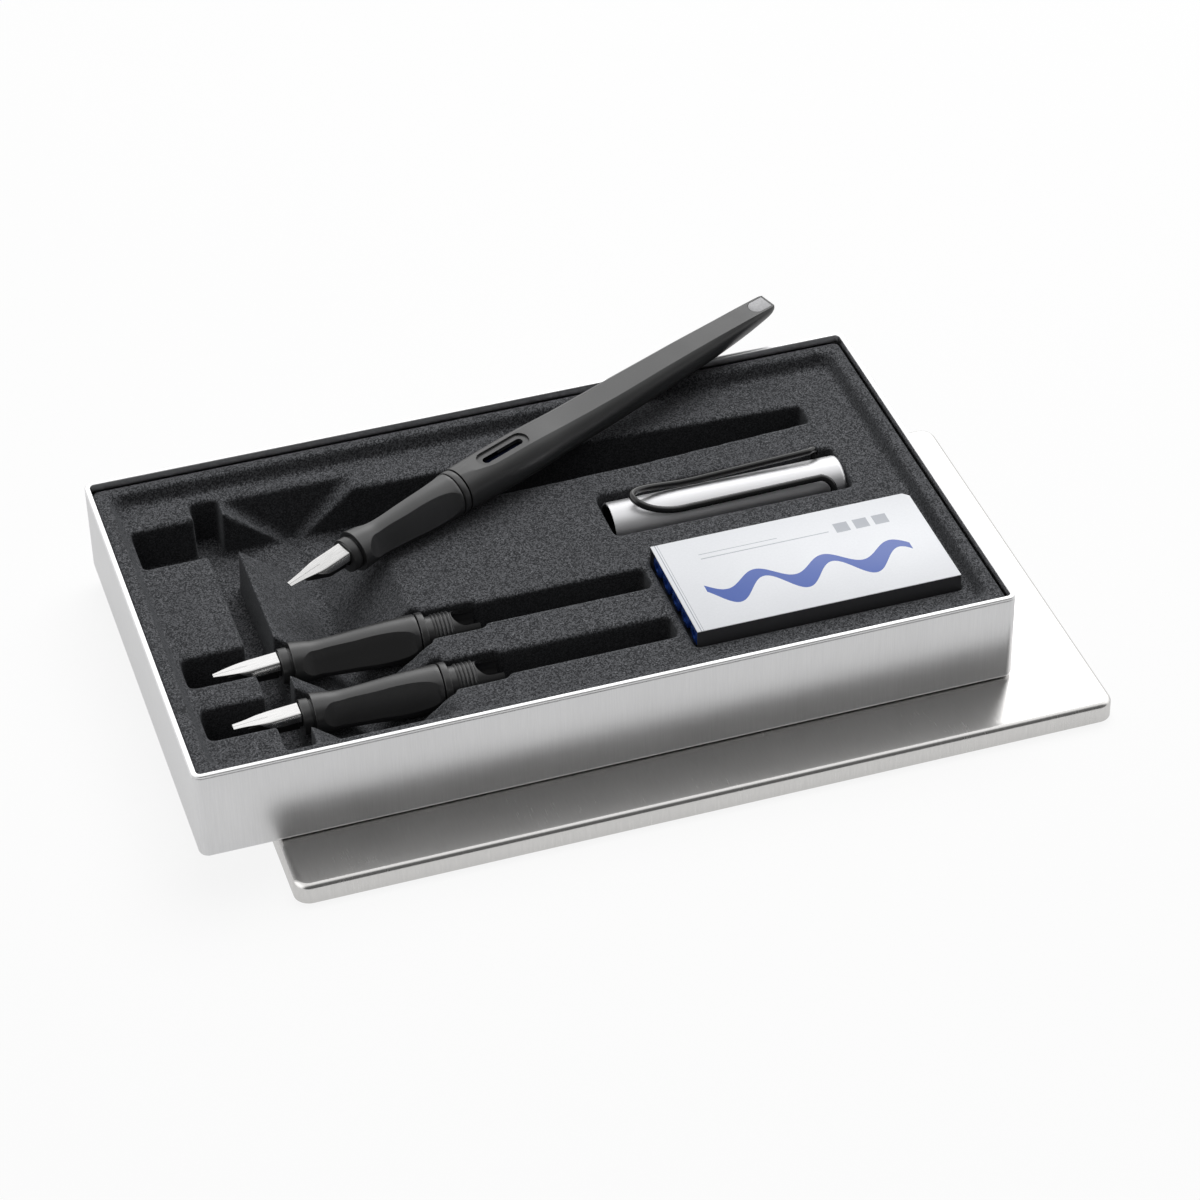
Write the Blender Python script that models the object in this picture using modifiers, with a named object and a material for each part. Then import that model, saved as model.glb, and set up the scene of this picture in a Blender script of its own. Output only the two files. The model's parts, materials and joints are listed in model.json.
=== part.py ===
"""Calligraphy set in an aluminium tin: tray, lid, flocked insert, pen, two spare nib
sections, cap and a pack of ink cartridges.

Metres, +Z up, +X along the tin's long side.  The tray stands on its own lid, which lies
open side down and shifted to the front right.  The origin is the middle of the set's
footprint, on the surface that it stands on.
"""

import bpy
import bmesh
import math
from mathutils import Matrix, Vector

# Gaps and small common sizes
GAP = 0.0003                # between neighbours that touch
SLEEVE_GAP = 0.00015        # between a tube and the sleeve inside it
OVERRUN = 0.0010            # how far a cutter runs past what it cuts
MERGE = 0.000005            # joins points that are meant to be one

# Tray
TRAY_LENGTH = 0.2200
TRAY_WIDTH = 0.1300
TRAY_HEIGHT = 0.02665
TRAY_CORNER = 0.0035
TRAY_BOTTOM_EDGE = 0.0012
SHEET = 0.0006
HEM_WIDTH = 0.00145
HEM_DEPTH = 0.0020
HEM_GROOVE_DROP = 0.0007
HEM_GROOVE_HEIGHT = 0.0003
HEM_GROOVE_DEPTH = 0.0002

# Lid
LID_HEIGHT = 0.0056
LID_CLEARANCE = 0.0001
LID_TOP_EDGE = 0.0015
LID_SHIFT_X = 0.0205
LID_SHIFT_Y = -0.0178

# Insert: heights are drops below the tray's rim, or depths below the panel, and place
# shares are the middle of a recess, from the panel's front edge to its back edge
INSERT_SHEET = 0.0010
FLANGE_DROP = 0.0018
PANEL_DROP = 0.00565
PANEL_INSET_X = 0.0053
PANEL_INSET_Y = 0.0053
PANEL_SLOPE = 0.0021
PANEL_CORNER = 0.0030
POCKET_DRAFT = 0.0004
POCKET_CORNER = 0.0015
PANEL_TO_POCKETS = 0.0010   # from the panel's left edge to the nib pockets

GROOVE_FROM_LEFT = 0.0187
GROOVE_WIDTH = 0.0080
GROOVE_DEPTH = 0.0135
GROOVE_BACK_MARGIN = 0.0035
GROOVE_FRONT_MARGIN = 0.0022

TROUGH_WIDTH = 0.0372
TROUGH_APEX_WIDTH = 0.0024
TROUGH_DEPTH = 0.0145
TROUGH_BACK_MARGIN = 0.0050
TROUGH_BACK_SLOPE = 0.0040
TROUGH_FRONT_SLOPE = 0.0010

PEN_SLOT_PLACE_SHARE = 0.8307
PEN_SLOT_DEPTH = 0.0135
PEN_SLOT_HEAD_HALF = 0.0084
PEN_SLOT_HEAD_LENGTH = 0.0617
PEN_SLOT_NECK_HALF = 0.0078
PEN_SLOT_NECK_LENGTH = 0.0040
PEN_SLOT_MIDDLE_HALF = 0.0070
PEN_SLOT_MIDDLE_LENGTH = 0.0710
PEN_SLOT_END_HALF = 0.0041
PEN_SLOT_RIGHT_MARGIN = 0.0137

SPARE_PLACE_SHARES = (0.34375, 0.15451)
SPARE_TIP_FROM_LEFT = 0.0084
NIB_POCKET_HALF = 0.0061
NIB_POCKET_DEPTH = 0.0125
NIB_POCKET_SHIFT = 0.0007
GRIP_POCKET_HALF = 0.0079
GRIP_POCKET_DEPTH = 0.0103
GRIP_POCKET_LENGTH = 0.0390
THREAD_POCKET_HALF = 0.0058
THREAD_POCKET_DEPTH = 0.0094
THREAD_POCKET_LENGTH = 0.0150
TAIL_POCKET_HALF = 0.0043
TAIL_POCKET_DEPTH = 0.0115
TAIL_POCKET_LENGTH = 0.0460

CAP_POCKET_LENGTH = 0.0684
CAP_POCKET_WIDTH = 0.0187
CAP_POCKET_DEPTH = 0.0122
CAP_POCKET_RIGHT_MARGIN = 0.0125
CAP_PLACE_SHARE = 0.599

PACK_CLEARANCE = 0.0006
PACK_POCKET_DEPTH = 0.0049
PACK_POCKET_CORNER = 0.0006
PACK_RIGHT_MARGIN = 0.0022
PACK_PLACE_SHARE = 0.2370

# Grip section, measured along the pen from the nib's tip
COLLAR_START = 0.0176
COLLAR_END = 0.0200
COLLAR_RADIUS = 0.0047
COLLAR_EDGE = 0.0002
GRIP_GROOVE_RADIUS = 0.0043
GRIP_START = 0.0206
GRIP_END = 0.0546
GRIP_RADIUS = 0.0062
GRIP_EDGE = 0.0003
GRIP_BELLY_SHARE = 0.66
GRIP_BELLY_RADIUS_SHARE = 0.97
GRIP_POINT_SHARES = ((0.0, 0.94), (0.10, 0.89), (0.22, 0.825), (0.33, 0.85), (0.50, 0.91),
                     (GRIP_BELLY_SHARE, GRIP_BELLY_RADIUS_SHARE), (0.86, 1.0))
FLAT_TURN = math.radians(64.0)
FLAT_POINT_SHARES = ((0.05, 0.94), (0.16, 0.67), (0.27, 0.635), (0.50, 0.70), (0.75, 0.765),
                     (0.90, 0.85), (1.0, 1.0))
SPIGOT_RADIUS = 0.0048
THREAD_START = 0.0587
THREAD_PITCH = 0.00105
THREAD_COUNT = 5
THREAD_RADIUS = 0.0052
FORK_RADIUS = 0.0047
FORK_END = 0.0710
FORK_SLOT_START = 0.0644
FORK_SLOT_WIDTH = 0.0050
FEED_BORE_RADIUS = 0.0026
SOCKET_START = 0.0535

# Ring between grip and barrel
RING_START = 0.0549
RING_END = 0.0568
RING_RADIUS = 0.0063
RING_EDGE = 0.0003

# Nib
NIB_END = 0.0173
NIB_SHEET = 0.00035
NIB_TIP_RISE = 0.0018
NIB_END_RISE = 0.0034
NIB_SHOULDER_HALF = 0.0018
NIB_TOP_HALF = 0.00226
NIB_WING_HALF = 0.0030
NIB_WING_DROP = 0.0022
NIB_EDGE_BEND = 0.0001
NIB_SHOULDER = 0.0064
NIB_WING_START = 0.0080
NIB_WING_FULL = 0.0116
PEN_TIP_HALF = 0.00075
PEN_TIP_REACH = 0.0012
SPARE_1_TIP_HALF = 0.00055
SPARE_2_TIP_HALF = 0.00095

# Feed under the nib
FEED_START = 0.0035
FEED_HALF = 0.0017
FEED_TIP_DEPTH = 0.0006
FEED_HEEL_DROP = 0.0024
FEED_HEEL_LENGTH = 0.0060
FEED_EDGE = 0.0005
FEED_TANG_RADIUS = 0.0023
FEED_TANG_END = 0.0510
NIPPLE_RADIUS = 0.0009
NIPPLE_END = 0.0570

# Cartridge
CARTRIDGE_LENGTH = 0.0715
CARTRIDGE_RADIUS = 0.0036
CARTRIDGE_REAR_RADIUS = 0.0033
CARTRIDGE_NECK_RADIUS = 0.0030
CARTRIDGE_NECK_LENGTH = 0.0090
CARTRIDGE_STEP_LENGTH = 0.0010
CARTRIDGE_EDGE = 0.0005

# Barrel: each row is a place along it, then, as shares of its radius, the half width,
# the height of the top flat, the lift of the widest line and the depth of the underside
BARREL_START = 0.0571
BARREL_LENGTH = 0.1160
BARREL_RADIUS = 0.0066
BARREL_SHARES = ((0.0, 0.974, 0.969, 0.0, 0.974), (0.03, 0.985, 0.955, 0.0, 0.985),
                 (0.06, 0.993, 0.923, 0.0, 0.993), (0.10, 1.0, 0.885, 0.0, 1.0),
                 (0.20, 0.992, 0.873, 0.0, 0.992), (0.32, 0.924, 0.790, 0.0, 0.924),
                 (0.41, 0.90, 0.757, 0.005, 0.895), (0.50, 0.871, 0.745, 0.035, 0.86),
                 (0.61, 0.818, 0.742, 0.075, 0.80), (0.72, 0.758, 0.733, 0.13, 0.73),
                 (0.78, 0.705, 0.713, 0.17, 0.70), (0.845, 0.644, 0.687, 0.22, 0.60),
                 (0.91, 0.585, 0.658, 0.275, 0.44), (0.955, 0.53, 0.622, 0.325, 0.28),
                 (0.98, 0.495, 0.600, 0.365, 0.17), (0.992, 0.47, 0.590, 0.39, 0.08),
                 (1.0, 0.42, 0.580, 0.42, -0.03))
BARREL_FLAT_POINTS = 4
BARREL_ARC_POINTS = 20
BORE_WALL_END = 0.0722
CARTRIDGE_BORE_RADIUS = 0.0041
CARTRIDGE_BORE_REAR_RADIUS = 0.0036
CARTRIDGE_BORE_END = 0.1320
WINDOW_START = 0.0643
WINDOW_LENGTH = 0.0174
WINDOW_WIDTH = 0.0054
WINDOW_DEPTH = 0.0005
WINDOW_SLOT_INSET = 0.0018
WINDOW_SLOT_WIDTH = 0.0022
INLAY_LENGTH = 0.0064
INLAY_WIDTH = 0.0046
INLAY_THICKNESS = 0.0005
INLAY_FROM_END = 0.0006

# Where the pen lies: the grip's belly over the panel, the barrel over the back rim
PEN_BELLY_FROM_LEFT = 0.0748
PEN_BELLY_SHARE = 0.6797
PEN_AZIMUTH = math.radians(24.2)
PEN_ROLL = math.radians(8.0)

# How far the section unscrews
UNSCREW_TRAVEL = 0.0050

# Cap
CAP_LENGTH = 0.0665
CAP_RADIUS = 0.0071
CAP_WALL = 0.00035
CAP_END_WALL = 0.0010
CAP_END_EDGE = 0.0012
CAP_MOUTH_EDGE = 0.0001
CAP_ROLL = math.radians(8.6)
CAP_MOUTH_MARGIN = 0.0012
LINER_WALL = 0.0003
LINER_LENGTH = 0.0590
LINER_MOUTH_SET_BACK = 0.0004
PLUG_RADIUS = 0.0049
PLUG_FLANGE = 0.0014
CLIP_WIRE = 0.00095
CLIP_HOLE_FROM_END = 0.0048
CLIP_LEG_HALF = 0.0052
CLIP_LEG_RISE = 0.0081
CLIP_WAIST_HALF = 0.0047
CLIP_WAIST_RISE = 0.0070
CLIP_LOOP_HALF = 0.0060
CLIP_FLARE_HALF = 0.0078
CLIP_INNER_HALF = 0.0060
CLIP_BEND_RADIUS = 0.0030
CLIP_LOOP_FROM_MOUTH = 0.0062
CLIP_LOOP_LENGTH = 0.0100
CLIP_LOOP_LIFT = 0.0026
CLIP_LOOP_DIP = 0.0040
CLIP_BEND_POINTS = 6
CLIP_LOOP_POINTS = 14

# Ink pack
PACK_LENGTH = 0.0733
PACK_WIDTH = 0.0386
PACK_HEIGHT = 0.0087
PACK_CARD = 0.0004
PACK_CUT_CORNER = 0.0016
PACK_TRAY_SHEET = 0.0003
PACK_MOUTH_ROOM = 0.0005    # from the sleeve's open end to the cartridges
PACK_CARTRIDGES = 5

# Counts of sides
ROUND_SIDES = 24
CARTRIDGE_SIDES = 16
SMALL_SIDES = 12
CAP_SIDES = 32
ARC_STEPS = 8
CORNER_STEPS = 4
EDGE_STEPS = 2
POCKET_STEPS = 2


def tidy_scene():
    """Removes what is in the scene already."""
    for old in list(bpy.data.objects):
        bpy.data.objects.remove(old, do_unlink=True)


def new_collection(name):
    """A collection linked to the scene."""
    group = bpy.data.collections.new(name)
    bpy.context.scene.collection.children.link(group)
    return group


tidy_scene()
SET = new_collection("calligraphy_set")
CUTTERS = new_collection("cutters")


def principled(name, colour, roughness, metallic=0.0):
    """A material with one Principled shader."""
    made = bpy.data.materials.new(name)
    made.use_nodes = True
    shader = made.node_tree.nodes["Principled BSDF"]
    shader.inputs["Base Color"].default_value = (*colour, 1.0)
    shader.inputs["Roughness"].default_value = roughness
    shader.inputs["Metallic"].default_value = metallic
    return made


def empty(name, parent=None, place=(0.0, 0.0, 0.0), turn=(0.0, 0.0, 0.0)):
    """A frame that other objects hang on."""
    made = bpy.data.objects.new(name, None)
    SET.objects.link(made)
    made.parent = parent
    made.location = place
    made.rotation_euler = turn
    return made


def add(name, bm, look, parent, place=(0.0, 0.0, 0.0), turn=(0.0, 0.0, 0.0)):
    """Turns a bmesh into a named piece of the set."""
    mesh = bpy.data.meshes.new(name)
    bm.to_mesh(mesh)
    bm.free()
    made = bpy.data.objects.new(name, mesh)
    SET.objects.link(made)
    made.parent = parent
    made.location = place
    made.rotation_euler = turn
    if look:
        mesh.materials.append(look)
    return made


def as_cutter(made):
    """Moves an object to the cutters."""
    SET.objects.unlink(made)
    CUTTERS.objects.link(made)
    made.hide_render = True
    made.display_type = "WIRE"
    return made


def cut(made, cutter, operation="DIFFERENCE"):
    """Cuts or joins one object with another."""
    boolean = made.modifiers.new("cut", "BOOLEAN")
    boolean.operation = operation
    boolean.solver = "EXACT"
    boolean.object = cutter
    return boolean


def solidify(made, thickness):
    """Gives an open surface its wall, on the inside."""
    wall = made.modifiers.new("wall", "SOLIDIFY")
    wall.thickness = thickness
    wall.offset = -1.0
    wall.use_even_offset = True
    return wall


def smooth(made, angle=math.radians(35.0)):
    """Round faces shade smooth, and edges stay sharp."""
    made.data.shade_smooth()
    made.data.set_sharp_from_angle(angle=angle)
    return made


def spin(made, sides=ROUND_SIDES):
    """Turns a profile about the object's X axis."""
    screw = made.modifiers.new("spin", "SCREW")
    screw.axis = "X"
    screw.angle = math.tau
    screw.steps = sides
    screw.render_steps = sides
    screw.use_merge_vertices = True
    screw.merge_threshold = MERGE
    screw.use_smooth_shade = True
    return screw


def turned(name, profile, look, parent, closed=False, sides=ROUND_SIDES, place=(0.0, 0.0, 0.0)):
    """A turned piece: profile points are (distance along X, radius), front to back
    along the outside.  A closed profile is a ring, an open one starts and ends on X."""
    bm = bmesh.new()
    points = [bm.verts.new((along, 0.0, radius)) for along, radius in reversed(profile)]
    for first, second in zip(points, points[1:]):
        bm.edges.new((first, second))
    if closed:
        bm.edges.new((points[-1], points[0]))
    made = add(name, bm, look, parent, place)
    spin(made, sides)
    return made


def loft(rings):
    """Joins closed rings of points, one to the next, and caps both ends."""
    bm = bmesh.new()
    rows = [[bm.verts.new(point) for point in ring] for ring in rings]
    count = len(rows[0])
    for row, following in zip(rows, rows[1:]):
        for i in range(count):
            j = (i + 1) % count
            bm.faces.new((row[i], row[j], following[j], following[i]))
    bm.faces.new(list(reversed(rows[0])))
    bm.faces.new(rows[-1])
    bmesh.ops.recalc_face_normals(bm, faces=bm.faces)
    return bm


def prism(points, axis_a, axis_b, start, stop):
    """A flat outline given on two axes (0 is X, 1 is Y, 2 is Z), pushed along the third."""
    axis_c = 3 - axis_a - axis_b
    rings = []
    for level in (start, stop):
        ring = []
        for a, b in points:
            point = [0.0, 0.0, 0.0]
            point[axis_a] = a
            point[axis_b] = b
            point[axis_c] = level
            ring.append(point)
        rings.append(ring)
    return loft(rings)


def rectangle(left, right, front, back):
    """The points of a rectangle, seen from above."""
    return [(left, front), (right, front), (right, back), (left, back)]


def rounded_outline(left, right, front, back, corner, steps=CORNER_STEPS):
    """The points of a rectangle with round corners, seen from above."""
    corner = min(corner, (right - left) / 2, (back - front) / 2)
    centres = ((right - corner, front + corner, -1), (right - corner, back - corner, 0),
               (left + corner, back - corner, 1), (left + corner, front + corner, 2))
    points = []
    for x, y, quarter in centres:
        for step in range(steps + 1):
            angle = (quarter + step / steps) * math.pi / 2
            points.append((x + corner * math.cos(angle), y + corner * math.sin(angle)))
    return points


def inward(point, half_length, half_width, corner):
    """The inward direction at a point of a rounded rectangle centred on the origin."""
    x, y = point
    over_x = max(abs(x) - (half_length - corner), 0.0)
    over_y = max(abs(y) - (half_width - corner), 0.0)
    reach = math.hypot(over_x, over_y) or corner
    return (-math.copysign(over_x / reach, x), -math.copysign(over_y / reach, y))


def pressed_pan(length, width, height, corner, edge, rim):
    """An open surface: a floor, a round lower edge and walls.  rim lists the steps that
    the wall's upper edge takes: (how far in from the outside, height)."""
    outline = rounded_outline(-length / 2, length / 2, -width / 2, width / 2, corner)
    levels = []
    for step in range(EDGE_STEPS + 1):
        angle = step / EDGE_STEPS * math.pi / 2
        levels.append((edge - edge * math.sin(angle), edge - edge * math.cos(angle)))
    levels += rim
    bm = bmesh.new()
    rows = []
    for inset, level in levels:
        row = []
        for point in outline:
            way = inward(point, length / 2, width / 2, corner)
            row.append(bm.verts.new((point[0] + way[0] * inset, point[1] + way[1] * inset, level)))
        rows.append(row)
    count = len(outline)
    for row, following in zip(rows, rows[1:]):
        for i in range(count):
            j = (i + 1) % count
            bm.faces.new((row[i], row[j], following[j], following[i]))
    bm.faces.new(list(reversed(rows[0])))
    return bm


def taper(top, bottom, top_level, bottom_level, top_end=None):
    """A recess's cutter: its outline at the bottom, at the top, and straight on above."""
    rings = [[(x, y, bottom_level) for x, y in bottom], [(x, y, top_level) for x, y in top]]
    if top_end is not None:
        rings.append([(x, y, top_end) for x, y in top])
    return loft(rings)


# Looks
ALUMINIUM = principled("aluminium", (0.72, 0.72, 0.73), 0.38, 1.0)
CAP_METAL = principled("cap_aluminium", (0.80, 0.80, 0.81), 0.32, 1.0)
STEEL = principled("nib_steel", (0.70, 0.70, 0.70), 0.22, 1.0)
FLOCK = principled("flock", (0.075, 0.08, 0.09), 0.95)
PLASTIC = principled("matte_plastic", (0.045, 0.046, 0.048), 0.55)
BLACK = principled("black_plastic", (0.012, 0.012, 0.013), 0.35)
WIRE = principled("black_wire", (0.012, 0.012, 0.013), 0.28)
INLAY = principled("inlay", (0.33, 0.33, 0.34), 0.40)
CARD = principled("white_card", (0.86, 0.87, 0.88), 0.45)
TRAY_CARD = principled("dark_card", (0.05, 0.05, 0.055), 0.60)
INK = principled("ink_cartridge", (0.03, 0.09, 0.42), 0.30)

# Heights of the insert above the tray's underside
PANEL = TRAY_HEIGHT - PANEL_DROP
FLANGE = TRAY_HEIGHT - FLANGE_DROP
TRAY_FLOOR = SHEET

# The panel's edges
PANEL_LEFT = -TRAY_LENGTH / 2 + PANEL_INSET_X + PANEL_SLOPE
PANEL_RIGHT = -PANEL_LEFT
PANEL_FRONT = -TRAY_WIDTH / 2 + PANEL_INSET_Y + PANEL_SLOPE
PANEL_BACK = -PANEL_FRONT
SOCKET_RADIUS = CARTRIDGE_RADIUS + GAP

SET_ORIGIN = empty("set_origin")
TRAY_PLACE = empty("tray_place", SET_ORIGIN, (0.0, 0.0, LID_HEIGHT + GAP))


def make_lid():
    """The lid, upside down to how it is built: a pan whose floor is the lid's top."""
    length = TRAY_LENGTH + 2 * (SHEET + LID_CLEARANCE)
    width = TRAY_WIDTH + 2 * (SHEET + LID_CLEARANCE)
    corner = TRAY_CORNER + SHEET + LID_CLEARANCE
    bm = pressed_pan(length, width, LID_HEIGHT, corner, LID_TOP_EDGE, [(0.0, LID_HEIGHT)])
    place = (LID_SHIFT_X, LID_SHIFT_Y, LID_HEIGHT)
    made = add("lid", bm, ALUMINIUM, SET_ORIGIN, place, (math.pi, 0.0, 0.0))
    solidify(made, SHEET)
    return smooth(made)


def make_tray():
    """The tray, with a fine groove under its rim and a hem folded inward and down."""
    groove_top = TRAY_HEIGHT - HEM_GROOVE_DROP
    groove_bottom = groove_top - HEM_GROOVE_HEIGHT
    rim = [(0.0, groove_bottom), (HEM_GROOVE_DEPTH, groove_bottom), (HEM_GROOVE_DEPTH, groove_top),
           (0.0, groove_top), (0.0, TRAY_HEIGHT), (HEM_WIDTH, TRAY_HEIGHT),
           (HEM_WIDTH, TRAY_HEIGHT - HEM_DEPTH)]
    bm = pressed_pan(TRAY_LENGTH, TRAY_WIDTH, TRAY_HEIGHT, TRAY_CORNER, TRAY_BOTTOM_EDGE, rim)
    made = add("tray", bm, ALUMINIUM, TRAY_PLACE)
    solidify(made, SHEET)
    return smooth(made)


def pocket(name, left, right, front, back, depth, grow, corner=POCKET_CORNER):
    """A rectangular recess in the panel, or its underside when grow is the sheet."""
    top = rounded_outline(left - grow, right + grow, front - grow, back + grow,
                          corner + grow, POCKET_STEPS)
    draft = POCKET_DRAFT
    bottom = rounded_outline(left - grow + draft, right + grow - draft, front - grow + draft,
                             back + grow - draft, corner + grow, POCKET_STEPS)
    bm = taper(top, bottom, PANEL, PANEL - depth - grow, PANEL + OVERRUN)
    return as_cutter(add(name, bm, None, TRAY_PLACE))


def across_panel(share):
    """A place between the panel's front edge and its back edge."""
    return PANEL_FRONT + (PANEL_BACK - PANEL_FRONT) * share


def pen_slot(name, grow):
    """The long recess for the pen: a wide head, a neck, a middle and a narrowing end."""
    head_end = PANEL_LEFT + PANEL_TO_POCKETS + PEN_SLOT_HEAD_LENGTH
    neck_end = head_end + PEN_SLOT_NECK_LENGTH
    middle_end = neck_end + PEN_SLOT_MIDDLE_LENGTH
    stations = [(PANEL_LEFT + PANEL_TO_POCKETS - grow, PEN_SLOT_HEAD_HALF),
                (head_end, PEN_SLOT_HEAD_HALF), (neck_end, PEN_SLOT_NECK_HALF),
                (middle_end, PEN_SLOT_MIDDLE_HALF),
                (PANEL_RIGHT - PEN_SLOT_RIGHT_MARGIN + grow, PEN_SLOT_END_HALF)]
    middle = across_panel(PEN_SLOT_PLACE_SHARE)

    def outline(draft):
        """The slot's outline, smaller all round by the draft."""
        ends = [(stations[0][0] + draft, stations[0][1])] + stations[1:-1]
        ends.append((stations[-1][0] - draft, stations[-1][1]))
        halves = [(x, half + grow - draft) for x, half in ends]
        return [(x, middle - half) for x, half in halves] + \
               [(x, middle + half) for x, half in reversed(halves)]

    bm = taper(outline(0.0), outline(POCKET_DRAFT), PANEL, PANEL - PEN_SLOT_DEPTH - grow,
               PANEL + OVERRUN)
    return as_cutter(add(name, bm, None, TRAY_PLACE))


TROUGH_LEFT = PANEL_LEFT + GROOVE_FROM_LEFT + GROOVE_WIDTH


def trough(name, grow):
    """The finger trough: a wide V across the panel, with a sloping back end."""
    left = TROUGH_LEFT - grow
    right = TROUGH_LEFT + TROUGH_WIDTH + grow
    middle = (left + right) / 2
    front = PANEL_FRONT + GROOVE_FRONT_MARGIN - grow
    back = PANEL_BACK - TROUGH_BACK_MARGIN + grow
    half_apex = TROUGH_APEX_WIDTH / 2
    top = rounded_outline(left, right, front, back, POCKET_CORNER, POCKET_STEPS)
    bottom = rounded_outline(middle - half_apex, middle + half_apex, front + TROUGH_FRONT_SLOPE,
                             back - TROUGH_BACK_SLOPE, half_apex, POCKET_STEPS)
    bm = taper(top, bottom, PANEL, PANEL - TROUGH_DEPTH - grow, PANEL + OVERRUN)
    return as_cutter(add(name, bm, None, TRAY_PLACE))


def panel_recess(name, grow):
    """The shallow recess of the whole panel inside the flange."""
    left = PANEL_LEFT - PANEL_SLOPE - grow
    front = PANEL_FRONT - PANEL_SLOPE - grow
    top = rounded_outline(left, -left, front, -front, PANEL_CORNER + grow, POCKET_STEPS)
    bottom = rounded_outline(left + PANEL_SLOPE, -left - PANEL_SLOPE, front + PANEL_SLOPE,
                             -front - PANEL_SLOPE, PANEL_CORNER + grow, POCKET_STEPS)
    bm = taper(top, bottom, FLANGE, PANEL - grow, FLANGE + OVERRUN)
    return as_cutter(add(name, bm, None, TRAY_PLACE))


def spare_middles():
    """Where the two spare sections lie across the tray, the back one first."""
    return [across_panel(share) for share in SPARE_PLACE_SHARES]


CAP_MIDDLE = across_panel(CAP_PLACE_SHARE)
CAP_POCKET_RIGHT = PANEL_RIGHT - CAP_POCKET_RIGHT_MARGIN
PACK_RIGHT = PANEL_RIGHT - PACK_RIGHT_MARGIN
PACK_LEFT = PACK_RIGHT - PACK_LENGTH
PACK_FRONT = across_panel(PACK_PLACE_SHARE) - PACK_WIDTH / 2
PACK_BACK = PACK_FRONT + PACK_WIDTH


def all_pockets(tag, grow):
    """Every recess in the panel, as cutters for its face or for its underside."""
    made = [panel_recess("panel_" + tag, grow), pen_slot("pen_slot_" + tag, grow),
            trough("trough_" + tag, grow)]
    groove_left = PANEL_LEFT + GROOVE_FROM_LEFT
    made.append(pocket("groove_" + tag, groove_left, groove_left + GROOVE_WIDTH,
                       PANEL_FRONT + GROOVE_FRONT_MARGIN, PANEL_BACK - GROOVE_BACK_MARGIN,
                       GROOVE_DEPTH, grow))
    nib_left = PANEL_LEFT + PANEL_TO_POCKETS
    grip_left = groove_left + GROOVE_WIDTH / 2
    grip_right = groove_left + GROOVE_WIDTH + GRIP_POCKET_LENGTH
    thread_right = grip_right + THREAD_POCKET_LENGTH
    tail_right = thread_right + TAIL_POCKET_LENGTH
    for number, middle in enumerate(spare_middles(), 1):
        label = "spare_%d_%s" % (number, tag)
        nib_middle = middle + NIB_POCKET_SHIFT
        made.append(pocket("nib_" + label, nib_left, grip_left, nib_middle - NIB_POCKET_HALF,
                           nib_middle + NIB_POCKET_HALF, NIB_POCKET_DEPTH, grow))
        made.append(pocket("grip_" + label, grip_left, grip_right, middle - GRIP_POCKET_HALF,
                           middle + GRIP_POCKET_HALF, GRIP_POCKET_DEPTH, grow))
        made.append(pocket("thread_" + label, grip_right - OVERRUN, thread_right,
                           middle - THREAD_POCKET_HALF, middle + THREAD_POCKET_HALF,
                           THREAD_POCKET_DEPTH, grow))
        made.append(pocket("tail_" + label, thread_right - OVERRUN, tail_right,
                           middle - TAIL_POCKET_HALF, middle + TAIL_POCKET_HALF,
                           TAIL_POCKET_DEPTH, grow))
    made.append(pocket("cap_" + tag, CAP_POCKET_RIGHT - CAP_POCKET_LENGTH, CAP_POCKET_RIGHT,
                       CAP_MIDDLE - CAP_POCKET_WIDTH / 2, CAP_MIDDLE + CAP_POCKET_WIDTH / 2,
                       CAP_POCKET_DEPTH, grow))
    made.append(pocket("pack_" + tag, PACK_LEFT - PACK_CLEARANCE, PACK_RIGHT + PACK_CLEARANCE,
                       PACK_FRONT - PACK_CLEARANCE, PACK_BACK + PACK_CLEARANCE,
                       PACK_POCKET_DEPTH, grow, PACK_POCKET_CORNER))
    return made


def make_insert():
    """The insert: a thin sheet with recesses, and a skirt that stands on the tray."""
    half_length = TRAY_LENGTH / 2 - HEM_WIDTH - GAP
    half_width = TRAY_WIDTH / 2 - HEM_WIDTH - GAP
    corner = max(TRAY_CORNER - HEM_WIDTH - GAP, GAP)
    foot = TRAY_FLOOR + GAP
    outline = rounded_outline(-half_length, half_length, -half_width, half_width, corner)
    made = add("insert", prism(outline, 0, 1, foot, FLANGE), FLOCK, TRAY_PLACE)
    inside = rounded_outline(-half_length + INSERT_SHEET, half_length - INSERT_SHEET,
                             -half_width + INSERT_SHEET, half_width - INSERT_SHEET,
                             INSERT_SHEET, POCKET_STEPS)
    hollow = as_cutter(add("insert_hollow", prism(inside, 0, 1, foot - OVERRUN,
                                                  FLANGE - INSERT_SHEET), None, TRAY_PLACE))
    for cutter in all_pockets("under", INSERT_SHEET):
        cut(hollow, cutter)
    cut(made, hollow)
    for cutter in all_pockets("top", 0.0):
        cut(made, cutter)
    return made


def along_share(start, length, share):
    """A place along a length."""
    return start + length * share


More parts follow.
